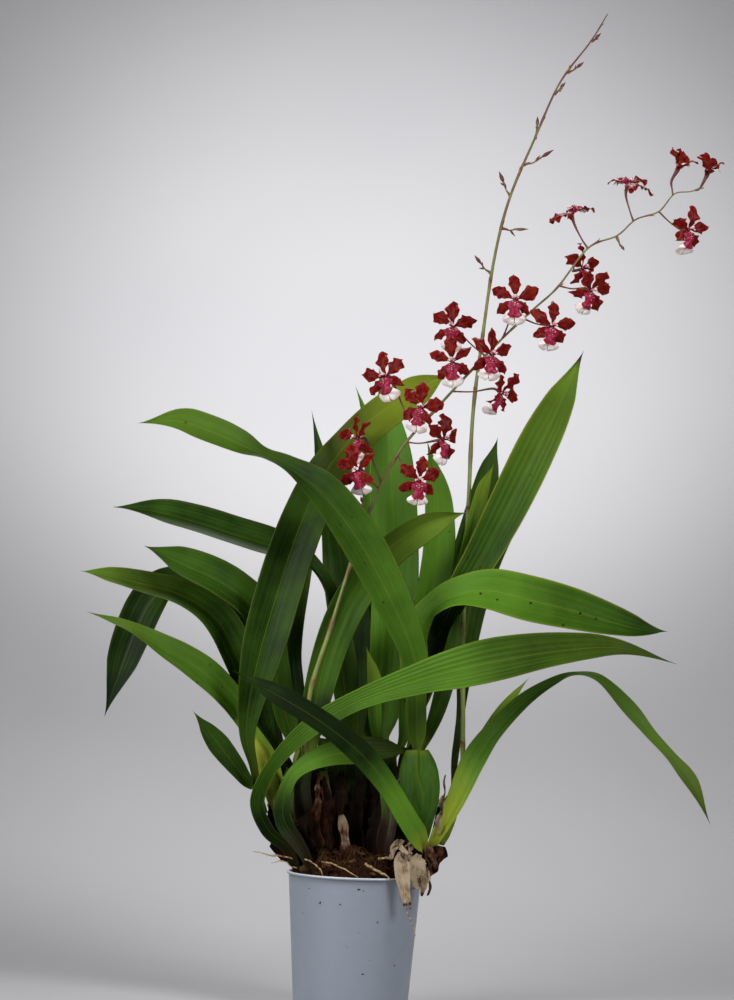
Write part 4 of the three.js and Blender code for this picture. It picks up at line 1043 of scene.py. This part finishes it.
def chip(spot, size, rng):
    """A flake of bark: four rings of six corners along its length, as a flat oval with jittered corners."""
    along, across = unit(rng.normal(size=3) * [1, 1, 0.35]), rng.normal(size=3)
    across = unit(np.cross(along, across))
    up = np.cross(along, across)
    step = np.array([-1, -0.55, 0.5, 1])[:, None, None] * along * size / 2
    angle = np.arange(6) * TAU / 6
    wide = np.array([0.25, 0.5, 0.42, 0.15])[:, None, None] * size * 0.7
    flat = around(across, 0.42 * up, angle) * wide
    jitter = rng.uniform(-0.09, 0.09, (4, 6, 3)) * size
    return tube(spot + step + flat + jitter, pale=rng.uniform(0, 1) ** 3 * 0.8)


class ORCHID_OT_growths(bpy.types.Operator):
    """Build the rhizome, the pseudobulbs and their sheaths"""

    bl_idname = "orchid.growths"
    bl_label = "Rhizome and pseudobulbs"

    def execute(self, context):
        looks = context.scene.orchid_growths
        flesh, husk = flesh_material(looks), husk_material(looks)
        for index, (node, (fresh, yellow, sheaths)) in enumerate(BULB_LOOKS.items()):
            middle, wide, deep = oval_rows(node)
            slim = curve(SLIM_BULBS.get(node, (1, 1)), np.linspace(0, 1, len(middle)))[:, None]
            rows = middle, wide * slim, deep
            body = bulb(rows, looks.ridge, fresh, yellow, index)
            made = {True: [], False: []}
            for k, placing in enumerate(sheaths):
                made[placing[3] >= HALF_DRY].append(sheath(rows, placing, looks.sheath, index + k))
            make_piece(f"{node}_flesh", [body, *made[False]], flesh, [node])
            if made[True]:
                make_piece(f"{node}_husks", made[True], husk)
        rhizome = bulb(oval_rows("rhizome"), RHIZOME_RIDGE, 0, 0, RHIZOME_SEED)
        make_piece("rhizome_husk", [rhizome], husk, ["rhizome"])
        self.dry_parts(husk)
        self.old_bases(flesh)
        return {"FINISHED"}

    def dry_parts(self, husk):
        """The standing sheath, the bract that hangs over the rim, and the torn husks round the rhizome."""
        middle, wide, deep = oval_rows("dry_sheath")
        share = np.linspace(0, 1, 40)
        rib, half, rise = (through(row, share * (len(middle) - 1)) for row in (middle, wide, deep * 0.9))
        half *= 1 + 0.25 * np.sin(9 * share)[:, None]
        standing = blade(rib, half, rise, HUSK_THICK, 24, wave=1.2, waves=2, dark=0.72 - 0.4 * share)
        make_piece("dry_sheath_husk", [standing], husk, ["dry_sheath"])

        share = np.linspace(0, 1, 48)
        rib, half, rise = (through(row, share * (len(row) - 1)) for row in blade_rows("dry_bract"))
        # Its end is torn off blunt and has darkened.
        half[-8:] = half[-9] * np.linspace(1, 0.75, 8)[:, None]
        dark = 0.15 + 0.5 * (share > 0.97)
        hanging = blade(rib, half, rise * 1.5, HUSK_THICK, 32, pleat=0.35, wave=1.6, waves=2.5, dark=dark)
        make_piece("dry_bract_husk", [hanging], husk, ["dry_bract"])

        husks = []
        for index, (line, width, turn, dark) in enumerate(TORN_HUSKS):
            share = np.linspace(0, 1, 30)
            middle = wobbled(through(line, share * 2), 0.8, 16, 90 + 3 * index)
            ahead = unit(np.gradient(middle, axis=0))
            across = unit(np.cross(ahead, FRONT))
            face = np.cross(across, ahead)
            lean = math.radians(turn) + 0.5 * np.sin(3 * share)
            side = around(across, face, lean)
            reach = width / 2 * curve([0.5, 0.85, 1, 0.95, 0.8, 0.55, 0.25], share)
            reach = reach * (1 + 0.12 * ripple(middle, 6, 120 + index))
            # An old dark husk is curled twice as deep as a bleached one.
            curl = reach * (0.3 if dark < 0.7 else 0.6)
            front = np.cross(side, ahead) * curl[:, None]
            husks.append(blade(
                middle, side * reach[:, None], front, 0.4, 24, pleat=0.4, pleats=5, wave=1.8, waves=3,
                phase=index, dark=dark + 0.4 * ease(share, 0.85, 1),
            ))
        make_piece("torn_husks", husks, husk)

    def old_bases(self, flesh):
        """The bases of old leaves, which stand between the bulbs: straps that are brown at the foot and
        turn dark green above, a green kept dark to paint the shade between the bulbs."""
        bases = []
        for index, (line, width, fresh) in enumerate(OLD_BASES):
            share = np.linspace(0, 1, 40)
            middle = wobbled(through(line, share * 2), 0.8, 40, 400 + 3 * index)
            ahead = unit(np.gradient(middle, axis=0))
            lean = 0.25 * math.sin(2.4 * index)
            side = unit(np.cross(ahead, [math.sin(lean), -math.cos(lean), 0]))
            reach = width / 2 * curve([0.7, 1, 1.05, 1, 0.9, 0.75, 0.45], share)
            front = np.cross(side, ahead)
            bases.append(blade(
                middle, side * reach[:, None], front * (reach * 0.45)[:, None], 0.7, 28, pleat=0.3, pleats=5,
                wave=0.6, waves=2, phase=index, fresh=fresh * share, yellow=0.04 * share,
                dry=ease(-share, -0.95, -0.2),
            ))
        make_piece("old_leaf_bases", bases, flesh)


def bulb(rows, ridge, fresh, yellow, seed):
    """A pseudobulb: an oval carried along its middle line, times one plus ridges that are the cosine of seven
    times the angle and fade at both ends, plus a faint unevenness."""
    places = np.linspace(0, len(rows[0]) - 1, 48)
    middle, wide, deep = (through(row, places) for row in rows)
    share = np.linspace(0, 1, 48)[:, None]
    angle = (np.arange(36) * TAU / 36)[None]
    ridges = 1 + ridge * np.sin(math.pi * share) * np.cos(7 * angle + seed)
    out = around(wide[:, None], deep[:, None], angle)
    rings = middle[:, None] + out * ridges[..., None]
    rings = rings + unit(out) * 0.35 * ripple(rings, 14, 200 + seed)[..., None]
    # The darkness near 1, which only the rhizome's husk reads, is near black and paints the shade low in the
    # clump.
    return tube(
        rings, fresh=fresh * ease(share[:, 0], -0.3, 0.5),
        yellow=yellow * (0.6 + 0.4 * share[:, 0]), dry=0.5 * ease(-share[:, 0], -0.18, 0),
        dark=0.95 + 0.1 * np.sin(60 * share[:, 0]),
    )


def sheath(rows, placing, thick, seed):
    """A sheath that clasps a bulb: v from -1 to 1 is the angle round the bulb, which narrows to a point at
    its top. It stands a little off the bulb, further towards its point, and is a lens in section."""
    bearing, reach, top, dryness, blunt, gap = placing
    share = np.linspace(0, 1, 44)
    middle, wide, deep = (through(row, share * top * (len(row) - 1)) for row in rows)
    v, lens = round_section(28)
    pointed = curve([1, 1, 0.98, 0.9, 0.76, 0.52, 0.06], share)
    span = math.radians(reach) * (pointed + (1 - pointed) * blunt)
    angle = math.radians(bearing) + span[:, None] * v + 0.15 * ripple(middle, 30, seed)[:, None]
    out = around(wide[:, None], deep[:, None], angle)
    loose = 0.5 + gap * share**2
    edge = 0.5 * dryness * np.sin(11 * share[:, None] + 2 * np.sign(v) + seed) * v**2
    keel = 0.5 * (1 - np.abs(v)) ** 3
    away = loose[:, None] + thick / 2 * lens + edge + keel
    rings = (middle[:, None] + out + unit(out) * away[..., None])[:, :-1]
    uv = flat_uv(v[None], share[:, None])
    rim = ease(np.abs(v[None, :-1]), 0.86, 1.0) * 0.5 + 0 * share[:, None]
    if dryness >= HALF_DRY:
        # A dry sheath is near black at its foot, which paints the shade low among the bulbs, and paler up it.
        dark = 0.95 - 0.25 * share[:, None] * (0.6 + 0.4 * math.sin(3.1 * seed)) - 0.2 * rim
        return tube(rings, uv, dark=dark)
    tip = ease(share, 0.9, 1.0)[:, None]
    return tube(
        rings, uv, fresh=0.2 + 0.4 * share, yellow=(rim * 0.3 + tip * 0.2 + dryness * 2).clip(0, 1),
        dry=0.5 * ease(-share, -0.12, 0), dark=0.0,
    )


class ORCHID_OT_leaves(bpy.types.Operator):
    """Build the leaves"""

    bl_idname = "orchid.leaves"
    bl_label = "Leaves"

    def execute(self, context):
        looks = context.scene.orchid_leaves
        material = leaf_material(looks)
        for index, (node, look) in enumerate(LEAF_LOOKS.items()):
            make_piece(f"{node}_blade", [leaf(node, look, looks, index)], material, [node])
        return {"FINISHED"}


def leaf(node, look, looks, seed):
    """A leaf blade through its CAD rows. Its fold deepens towards the foot, where the halves close on each
    other, its margins wave by up to the setting, and its foot runs 3 mm on into what carries it."""
    lit_greens, (foot_yellow, tip_yellow, edge_yellow), dry_tip, pleat, pleats, spots, sheathed = look
    rib, half, rise = blade_rows(node)
    if node in LEAF_BASES:
        points, reach, join = LEAF_BASES[node]
        share = np.array(reach)[:, None] / np.linalg.norm(half[join])
        rib = np.vstack([points, rib[join:]])
        half, rise = (np.vstack([rows[join] * share, rows[join:]]) for rows in (half, rise))
    else:
        foot = rib[:1] - FOOT_RUN * unit(rib[1:2] - rib[:1])
        rib, half, rise = np.vstack([foot, rib]), np.vstack([half[:1], half]), np.vstack([rise[:1], rise])
    for row, turned in TIP_TURNS.get(node, {}).items():
        half[row] += np.array(turned) * np.sign(half[row][2])
    share = np.linspace(0, 1, looks.stations)
    places = share * (len(rib) - 1)
    rib, half, rise = (through(rows, places) for rows in (rib, half, rise))
    half *= np.minimum(1, (0.02 + (1 - share) * 9) ** 0.5)[:, None]
    rise = rise * looks.fold * (1 + 1.6 * ease(-share, -0.22, 0))[:, None]
    width = np.linalg.norm(half, axis=1)
    sides = 80 if pleats > 7 else 48  # more where many pleats have to show
    v = round_section(sides)[0][:-1]
    rim = ease(np.abs(v), 0.88, 1.0)[None] * edge_yellow
    old = sheathed and ease(-share, -sheathed, 0.05 - sheathed)[:, None]
    base = foot_yellow * ease(-share, -0.3, -0.02)[:, None]
    tip = tip_yellow * ease(share, 0.55, 1.0)[:, None]
    scorch = dry_tip * ease(share, 0.955, 0.985)[:, None]
    # A tip that is drier than 0.4 has also dried back along one margin.
    scorch = scorch + 0.6 * (dry_tip > 0.4) * ease(share, 0.9, 1)[:, None] * (v[None] > 0.55)
    # The greens along the blade, and a high tip yellow, paint its light and shade as well as its age.
    return blade(
        rib, half, rise, looks.thickness * np.minimum(1, width / 6 + 0.3), sides, pleat=pleat, pleats=pleats,
        wave=looks.wave * min(1.0, width.max() / 18), waves=2.5 + seed % 3 * 0.7, phase=seed * 1.7,
        fresh=curve(lit_greens, share) + 0.05 + 0.05 * np.sin(5 * share + seed),
        yellow=(base + tip + rim).clip(0, 1), dry=np.maximum(scorch, 0.7 * old).clip(0, 1), spots=spots,
    )


def middle_line(route, steps=160):
    """A spike's middle line and widths at even steps along its route's rows."""
    rows = through(route, np.linspace(0, len(route) - 1, steps))
    return rows[:, :3], rows[:, 3]


def along_line(line, gap, first):
    """The places along a line, as numbers of its points, that lie first and then gap millimetres apart."""
    run = np.concatenate([[0], np.cumsum(np.linalg.norm(np.diff(line, axis=0), axis=1))])
    return np.interp(np.arange(first, run[-1] - 4, gap), run, np.arange(len(line)))


class ORCHID_OT_spikes(bpy.types.Operator):
    """Build the two spikes, their bracts, twigs and buds"""

    bl_idname = "orchid.spikes"
    bl_label = "Spikes"

    def execute(self, context):
        looks = context.scene.orchid_spikes
        green, husk = stem_material(looks), husk_material(looks)
        for node, route, twigs, ruddy, slim in (
            ("spike_in_bud", SPIKE_IN_BUD, BUD_TWIGS, (-0.2, -0.15, 0.15, 0.6, 1.25), (0.86, 0.86)),
            (
                "spike_in_flower", SPIKE_IN_FLOWER, FLOWER_TWIGS, (0.15, 0.2, 0.4, 0.5, 0.75),
                (0.86, 0.86, 0.78, 0.66, 0.6, 0.58, 0.58, 0.6, 0.64),
            ),
        ):
            line, widths = middle_line(route)
            share = np.linspace(0, 1, len(line))
            nodes = along_line(line, looks.node_gap, 30)
            swell = sum(np.exp(-((np.arange(len(line)) - n) ** 2) / 1.5) for n in nodes)
            tint = curve(ruddy, share) + 0.35 * swell
            widths = widths * curve(slim, share)
            pieces = [stem(line, widths * (1 + 0.22 * swell), 12, ruddy=tint)]
            bracts = [self.bract(line, widths, n, looks.bract, k) for k, n in enumerate(nodes)]
            for index, twig in enumerate(twigs):
                made, leaf_like = self.twig(line, twig, index)
                pieces += made
                bracts.append(leaf_like)
            make_piece(f"{node}_stem", pieces, green, [node])
            make_piece(f"{node}_bracts", bracts, husk)
        return {"FINISHED"}

    def bract(self, line, widths, place, size, index):
        """A bract that clasps the stem above a node: a short blade that leans out a little to one side."""
        at = int(place)
        ahead, across, face = (way[at] for way in frame_along(line))
        turn = math.pi * index + 0.6
        side = across * math.cos(turn) + face * math.sin(turn)
        share = np.linspace(0, 1, 14)[:, None]
        size = size * (0.6 + 0.4 * widths[at] / 4.6)
        rib = line[at] + ahead * size * share + side * (widths[at] * 0.5 + 0.2 + 1.6 * share**2)
        reach = widths[at] * 0.62 * curve([1, 1, 0.9, 0.65, 0.05], share[:, 0])[:, None]
        half = np.cross(ahead, side) * reach
        return blade(rib, half, -side * reach * 0.9, BRACT_THICK, 14, dark=0.25 + 0.4 * share[:, 0])

    def twig(self, line, twig, index):
        """A twig with a bud at its end, a smaller bud beside it, and a bract at its foot. A bud is a pointed
        oval: its width is a curve along it."""
        start, end, bud_length, bud_width = twig
        root = line[np.linalg.norm(line - start, axis=1).argmin()]
        share = np.linspace(0, 1, 12)[:, None]
        end = np.array(end, float)
        sag = 0.12 * np.linalg.norm(end - root) * np.sin(math.pi * share) * np.array([0, 0, 1.0])
        path = root + (end - root) * share - sag
        made = [stem(path, np.full(12, 1.3), 8, ruddy=0.8)]
        ahead = unit(end - root)
        rng = np.random.default_rng(TWIG_SEED + index)
        for foot, size, lean in ((end, 1.0, 0.15), (path[7], 0.62, 0.9), (path[9], 0.5, -0.8)):
            way = unit(ahead + lean * unit(rng.normal(size=3)) + [0, 0, 0.25])
            steps = np.linspace(-0.05, 1, 16)
            middle = foot + way * (steps * bud_length * size)[:, None]
            belly = bud_width * size * curve([0.35, 0.75, 1, 0.95, 0.7, 0.4, 0.12], np.linspace(0, 1, 16))
            made.append(stem(middle, belly, 10, ridges=0.05, ruddy=0.8 + 0.5 * steps))
        side = unit(np.cross(ahead, [0.3, 1, 0.2]))
        rib = root + ahead * (share * 7) + [0, 0, -0.8]
        reach = 1.5 * curve([1, 0.9, 0.6, 0.05], share[:, 0])[:, None]
        return made, blade(rib, side * reach, np.cross(side, ahead) * reach * 0.6, BRACT_THICK, 12, dark=0.5)


def flower_marks(spread):
    """The exact corners that a flower's CAD node has in its own axes: the tips of the dorsal sepal, the two
    petals and the two lateral sepals, then the lip's and the column's."""
    bearing, size = np.radians([t[0] for t in TEPALS]), np.array([t[1] for t in TEPALS])
    s = math.radians(spread)
    tips = np.stack([math.sin(s) * np.sin(bearing), 0 * bearing - math.cos(s), math.sin(s) * np.cos(bearing)])
    return np.vstack([(tips * size).T, LIP_TIP, COLUMN_TIP])


def flower_pose(node):
    """A flower's spread, the turn of its own axes and its middle, from its CAD corners. Three corners that
    lie as far apart as the dorsal tip and the two petal tips give a turn, and the right one brings every mark
    nearest to a corner."""
    corners, _ = welded(node)
    apart = np.linalg.norm(corners[:, None] - corners[None], axis=-1)
    found = []
    for spread in SPREADS:
        marks = flower_marks(spread)
        petals = marks[[0, 1, 4]]
        one, two, three = (np.linalg.norm(petals[i] - petals[j]) for i, j in ((0, 1), (0, 2), (1, 2)))
        near = [np.abs(apart - gap) < 0.02 for gap in (one, two, three)]
        a, b = np.nonzero(near[0])
        pair, c = np.nonzero(near[1][a] & near[2][b])
        for corner in zip(a[pair], b[pair], c):
            turn = triad(corners[list(corner)]) @ triad(petals).T
            middle = corners[corner[0]] - turn @ petals[0]
            moved = marks @ turn.T + middle
            miss = np.linalg.norm(moved[:, None] - corners[None], axis=-1).min(1).sum()
            found.append((miss, spread, turn, middle))
    return min(found, key=lambda f: f[0])[1:]


def triad(points):
    """Three square axes, as columns, that three points fix."""
    one = unit(points[1] - points[0])
    three = unit(np.cross(one, points[2] - points[0]))
    return np.column_stack([one, np.cross(three, one), three])


class ORCHID_OT_flowers(bpy.types.Operator):
    """Build the flowers"""

    bl_idname = "orchid.flowers"
    bl_label = "Flowers"

    def execute(self, context):
        looks = context.scene.orchid_flowers
        tepal_skin, lip_skin = tepal_material(looks), lip_material(looks)
        pedicel_skin = stem_material(context.scene.orchid_spikes)
        stem_line, _ = middle_line(SPIKE_IN_FLOWER, 500)
        for index, node in enumerate(sorted(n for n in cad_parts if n.startswith("flower_"))):
            spread, turn, middle = flower_pose(node)

            def placed(rings):
                return rings @ turn.T + middle

            rng = np.random.default_rng(FLOWER_SEED + index)
            tepals = [tepal(t, spread, looks, rng, placed) for t in TEPALS]
            make_piece(f"{node}_tepals", tepals, tepal_skin, [node])
            parts = [lip(looks, spread, rng, placed, CURLED_LIPS.get(node, 1.0)), *column(placed)]
            make_piece(f"{node}_lip", parts, lip_skin)
            cup = BUD_CUP if spread < HALF_OPEN else 0.0
            stalk = pedicel(node, stem_line, turn, middle, cup)
            make_piece(f"{node}_pedicel", [stalk], pedicel_skin)
        return {"FINISHED"}


def tepal(shape, spread, looks, rng, placed):
    """A tepal: u runs along it and v across. A point is u lengths ahead, v times the outline's half width to
    the side, and along the way it faces: a bow forward, as the sine of pi u; a curl that grows as the cube of
    u; a rounded back, as one less v squared, with a groove down its middle; and the margin's ruffle, as v
    squared times a sine of u, with its own phase at each side. It twists about its own line."""
    bearing, size, width = shape
    s, b = math.radians(spread * 1.16 - 14 + rng.uniform(-8, 8)), math.radians(bearing + rng.uniform(-11, 11))
    size = size * rng.uniform(1.0, 1.16)
    radial = np.array([math.sin(b), 0, math.cos(b)])
    ahead = radial * math.sin(s) + FRONT * math.cos(s)
    face = FRONT * math.sin(s) - radial * math.cos(s)
    side = np.cross(ahead, face)
    u = (1 - (1 - np.linspace(0, 1, 34)) ** 1.4)[:, None]
    v, lens = (row[None] for row in round_section(32))
    waves, phase = rng.uniform(2.0, 3.4), rng.uniform(0, TAU, 2)
    turn = TAU * waves * u + np.where(v > 0, phase[0], phase[1])
    half = (width / 2 * curve(TEPAL_OUTLINE, u[:, 0]) * rng.uniform(0.82, 1.02))[:, None]
    half = half * (1 + 0.1 * np.abs(v) * np.cos(1.4 * turn))
    ruffle = looks.wave * v**2 * u**0.8 * np.sin(turn)
    bow = rng.uniform(0.2, 3.0) * np.sin(math.pi * u) - rng.uniform(-3.0, 8.0) * u**3
    twist = rng.uniform(-1.1, 1.1) * u
    groove = 0.7 * np.exp(-((v / 0.14) ** 2)) * np.sin(math.pi * u)
    lift = bow + (1 - v**2) * half / 5 - groove + ruffle + looks.thickness / 2 * lens
    lift, across = lift * np.cos(twist) + half * v * np.sin(twist), half * v * np.cos(twist)
    sway = rng.uniform(-2.4, 2.4) * u**2
    points = ahead * (0.6 + u * (size - 0.6))[..., None] + side * (across + sway)[..., None]
    points = points + face * lift[..., None]
    crest = 0.25 * np.sin(turn) * v**2
    margin = (ease(np.abs(v), 0.7, 1.0) * 0.5 + ease(u, 0.8, 1.0) * 0.4 + crest).clip(0, 1)[:, :-1]
    under = np.broadcast_to(lens[:, :-1] < 0, margin.shape)
    return tube(placed(points[:, :-1]), flat_uv(v, u), margin=margin, under=under)


def lip(looks, spread, rng, placed, open_share):
    """The lip: u runs down it and v across. Its half width swells at the side lobes, narrows to a waist and
    flares into two lobes with a notch between. Its margins bow back and ruffle, and its callus is a heap of
    small round knobs. It is cream beyond a crimson wedge that narrows to a point at the notch, and on the
    knobs' heads. In a half-open flower it is smaller and folded forwards, and an old one is curled short."""
    u = np.linspace(0, 1, 54)[:, None]
    v, lens = (row[None] for row in round_section(56))
    phase = rng.uniform(0, TAU, 2)
    half = curve(LIP_HALF_WIDTHS, u[:, 0])[:, None] * rng.uniform(0.92, 1.06)
    half = half * (1 + 0.05 * np.sin(15 * u + phase[0] + 2 * np.sign(v)))
    out = curve(LIP_AHEAD, u[:, 0])[:, None]
    notch = 7.0 * (1 - np.abs(v)) ** 1.6 * ease(u, 0.66, 1.0)
    below = 0.5 + 22.0 * u - notch
    back = 2.6 * v**2 * (0.35 + u) + rng.uniform(0.5, 3.5) * ease(u, 0.7, 1.0)
    ruffle = 1.5 * ease(u, 0.48, 0.8) * v**2 * np.sin(13 * u + 3 * np.sign(v) + phase[1])
    swell = 1.2 * ease(u, 0.55, 0.8) * np.sin(math.pi * np.abs(v))
    knobs = sum(np.exp(-(((v - at) / 0.16) ** 2) - ((u - low) / 0.028) ** 2) for at, low in LIP_KNOBS)
    ahead = out - back + ruffle + swell + 1.9 * knobs + looks.thickness / 2 * lens
    points = np.stack(np.broadcast_arrays(half * v, -ahead, -below), axis=-1)
    points = points * [1, 1, open_share]
    if spread < HALF_OPEN:
        points = BUD_LIP * points @ np.array(Matrix.Rotation(math.radians(BUD_FOLD), 3, "X"))
    wedge = curve([1.1, 1.1, 1.1, 1.1, 1.1, 1.1, 0.86, 0.5, 0.3, 0.15, 0], u[:, 0])[:, None]
    cream = ease(np.abs(v) - wedge, -0.06, 0.14) * open_share
    lobes = 0.2 * ease(np.abs(v), 0.75, 0.98) * ease(-u, -0.3, -0.12)
    return tube(placed(points[:, :-1]), flat_uv(v, u), cream=(cream + 0.5 * knobs + lobes).clip(0, 1)[:, :-1])


def column(placed):
    """The column: a short stalk that stands forward over the lip and ends in a rounded cap, with a small
    wing at each side below it."""
    share = np.linspace(0, 1, 20)
    middle = np.stack([0 * share, -0.5 - 6.6 * share, 1.2 + 1.6 * share**2], axis=1)
    widths = curve([3.2, 2.6, 2.2, 2.2, 2.8, 3.0, 1.0], share)
    made = [stem(placed(middle), widths, 14, cream=0.5 - 0.35 * np.exp(-(((share - 0.4) / 0.25) ** 2)))]
    for sign in (-1, 1):
        u = np.linspace(0, 1, 12)[:, None]
        rib = np.array([sign * 1.0, -4.8, 1.6]) + u * np.array([sign * 2.6, -0.8, -1.2])
        half = np.array([0.4 * sign, 0.3, 1.0]) * 1.1 * curve([0.5, 1, 1, 0.6, 0.1], u[:, 0])[:, None]
        rings = blade(rib, half, np.array([[0, -0.3, 0.0]]) + 0 * rib, 0.35, 12, cream=0.45)
        made.append((placed(rings[0]), *rings[1:5], {"cream": rings[5]["cream"]}))
    return made


def pedicel(node, stem_line, turn, middle, cup):
    """A pedicel: from the stem's middle, out to a point behind the flower and on into its back, thicker along
    the ovary, and a cup's depth further into a half-open flower. Its foot is the point of the stem nearest to
    any of the CAD node's corners behind the flower."""
    corners, _ = welded(node)
    behind = corners[(corners - middle) @ turn[:, 1] > 1.0]
    gaps = np.linalg.norm(stem_line[:, None] - behind[None], axis=-1)
    root = stem_line[gaps.min(1).argmin()]
    bend = middle + turn[:, 1] * 9
    between = (bend + root) / 2 + np.array([0, 0, -1.5])
    rows = through([root, between, bend, middle + turn[:, 1] * (0.5 - cup)], np.linspace(0, 3, 30))
    share = np.linspace(0, 1, 30)
    widths = curve([2.0, 1.4, 1.4, 2.0, 2.6, 2.8 + 0.35 * cup], share)
    return stem(rows, widths, 10, ridges=0.06, ruddy=0.85 + 0.3 * share)


class ORCHID_OT_stage(bpy.types.Operator):
    """Build the studio: a pale sweep, soft lights and the camera"""

    bl_idname = "orchid.stage"
    bl_label = "Studio and camera"

    def execute(self, context):
        looks = context.scene.orchid_stage
        self.sweep(wall_material(looks))
        for name, (kind, at, aim, size) in LIGHTS.items():
            light = self.lamp(name, kind, at, aim, getattr(looks, name.split("_")[0] + "_power"))
            if kind == "AREA":
                light.size = size
            else:
                light.spot_size, light.spot_blend = math.radians(size), 1.0
                light.shadow_soft_size = SPOT_RADIUS
        context.scene.world = self.air(looks)
        context.scene.view_settings.view_transform = "Standard"
        self.camera(context.scene)
        return {"FINISHED"}

    def lamp(self, name, kind, at, aim, power):
        """A light at a place, turned towards its aim."""
        light = bpy.data.lights.new(name, kind)
        light.energy = power
        holder = bpy.data.objects.new(name, light)
        holder.location = at
        holder.rotation_euler = (Vector(aim) - Vector(at)).to_track_quat("-Z", "Y").to_euler()
        bpy.context.scene.collection.objects.link(holder)
        return light

    def air(self, looks):
        """The world: a dim cool light from all round, which is seen as a plain pale grey past the sweep."""
        world = bpy.data.worlds.new("studio_air")
        world.use_nodes = True
        add, nodes = functools.partial(add_node, world.node_tree), world.node_tree.nodes
        fill(nodes["Background"], {"Color": looks.air, "Strength": 0.1})
        seen = add("Background", {"Color": looks.backdrop, "Strength": 1.0})[0]
        direct = add("LightPath")["Is Camera Ray"]
        mixed = add("MixShader", [direct, nodes["Background"].outputs[0], seen])[0]
        fill(nodes["World Output"], {"Surface": mixed})
        return world

    def sweep(self, material):
        """Floor and wall in one: a profile of [y, z], flat, then a quarter circle, then upright, drawn across
        from one side to the other, in metres."""
        turn = np.linspace(0, math.pi / 2, 32)
        arc = np.stack([SWEEP_BEND * np.sin(turn), SWEEP_BEND * (1 - np.cos(turn))], axis=1)
        arc[:, 0] += WALL_AWAY - SWEEP_BEND
        profile = np.vstack([[[-SWEEP_REACH, 0.0], [0.0, 0.0]], arc, [[WALL_AWAY, SWEEP_REACH]]])
        across = [-SWEEP_REACH, SWEEP_REACH]
        grid = np.stack(np.broadcast_arrays(across, profile[:, :1], profile[:, 1:]), axis=-1)
        here = np.arange(len(profile) * 2).reshape(-1, 2)
        faces = np.stack([here[:-1, 0], here[:-1, 1], here[1:, 1], here[1:, 0]], axis=1)
        mesh = bpy.data.meshes.new("studio_sweep")
        mesh.from_pydata(grid.reshape(-1, 3).tolist(), [], faces.tolist())
        mesh.polygons.foreach_set("use_smooth", np.ones(len(mesh.polygons), bool))
        mesh.materials.append(material)
        floor = bpy.data.objects.new("studio_sweep", mesh)
        bpy.context.scene.collection.objects.link(floor)

    def camera(self, scene):
        """The camera: 3 m in front, low down, tilted up a little and leaned to one side, with a long lens."""
        lens = bpy.data.cameras.new("camera")
        lens.lens, lens.sensor_width = LENS_MM, SENSOR_MM
        holder = bpy.data.objects.new("camera", lens)
        tilt = Matrix.Rotation(math.radians(90 + CAMERA_TILT), 4, "X")
        lean = Matrix.Rotation(math.radians(CAMERA_LEAN), 4, "Z")
        holder.matrix_world = Matrix.Translation(CAMERA_PLACE) @ tilt @ lean
        scene.collection.objects.link(holder)
        scene.camera = holder


class ORCHID_PT_sidebar(bpy.types.Panel):
    """The orchid's pieces and their settings"""

    bl_idname = "ORCHID_PT_sidebar"
    bl_label = "Potted Oncidium"
    bl_space_type = "VIEW_3D"
    bl_region_type = "UI"
    bl_category = "Orchid"

    def draw(self, context):
        for operator, group in PARTS:
            box = self.layout.box()
            box.operator(operator.bl_idname)
            settings = getattr(context.scene, settings_name(operator))
            for key in group.__annotations__:
                box.prop(settings, key)


PARTS = (
    (ORCHID_OT_pot, PotSettings),
    (ORCHID_OT_mix, MixSettings),
    (ORCHID_OT_growths, GrowthSettings),
    (ORCHID_OT_leaves, LeafSettings),
    (ORCHID_OT_spikes, SpikeSettings),
    (ORCHID_OT_flowers, FlowerSettings),
    (ORCHID_OT_stage, StageSettings),
)


def settings_name(operator):
    """The scene's property that holds an operator's settings."""
    return operator.bl_idname.replace(".", "_")


def register():
    """Registers the settings, the operators and the panel."""
    for operator, group in PARTS:
        bpy.utils.register_class(group)
        bpy.utils.register_class(operator)
        setattr(bpy.types.Scene, settings_name(operator), PointerProperty(type=group))
    bpy.utils.register_class(ORCHID_PT_sidebar)


def unregister():
    """Takes them away again."""
    bpy.utils.unregister_class(ORCHID_PT_sidebar)
    for operator, group in reversed(PARTS):
        delattr(bpy.types.Scene, settings_name(operator))
        bpy.utils.unregister_class(operator)
        bpy.utils.unregister_class(group)


def main():
    register()
    for operator, _ in PARTS:
        group, name = operator.bl_idname.split(".")
        getattr(getattr(bpy.ops, group), name)()


if __name__ == "__main__":
    main()
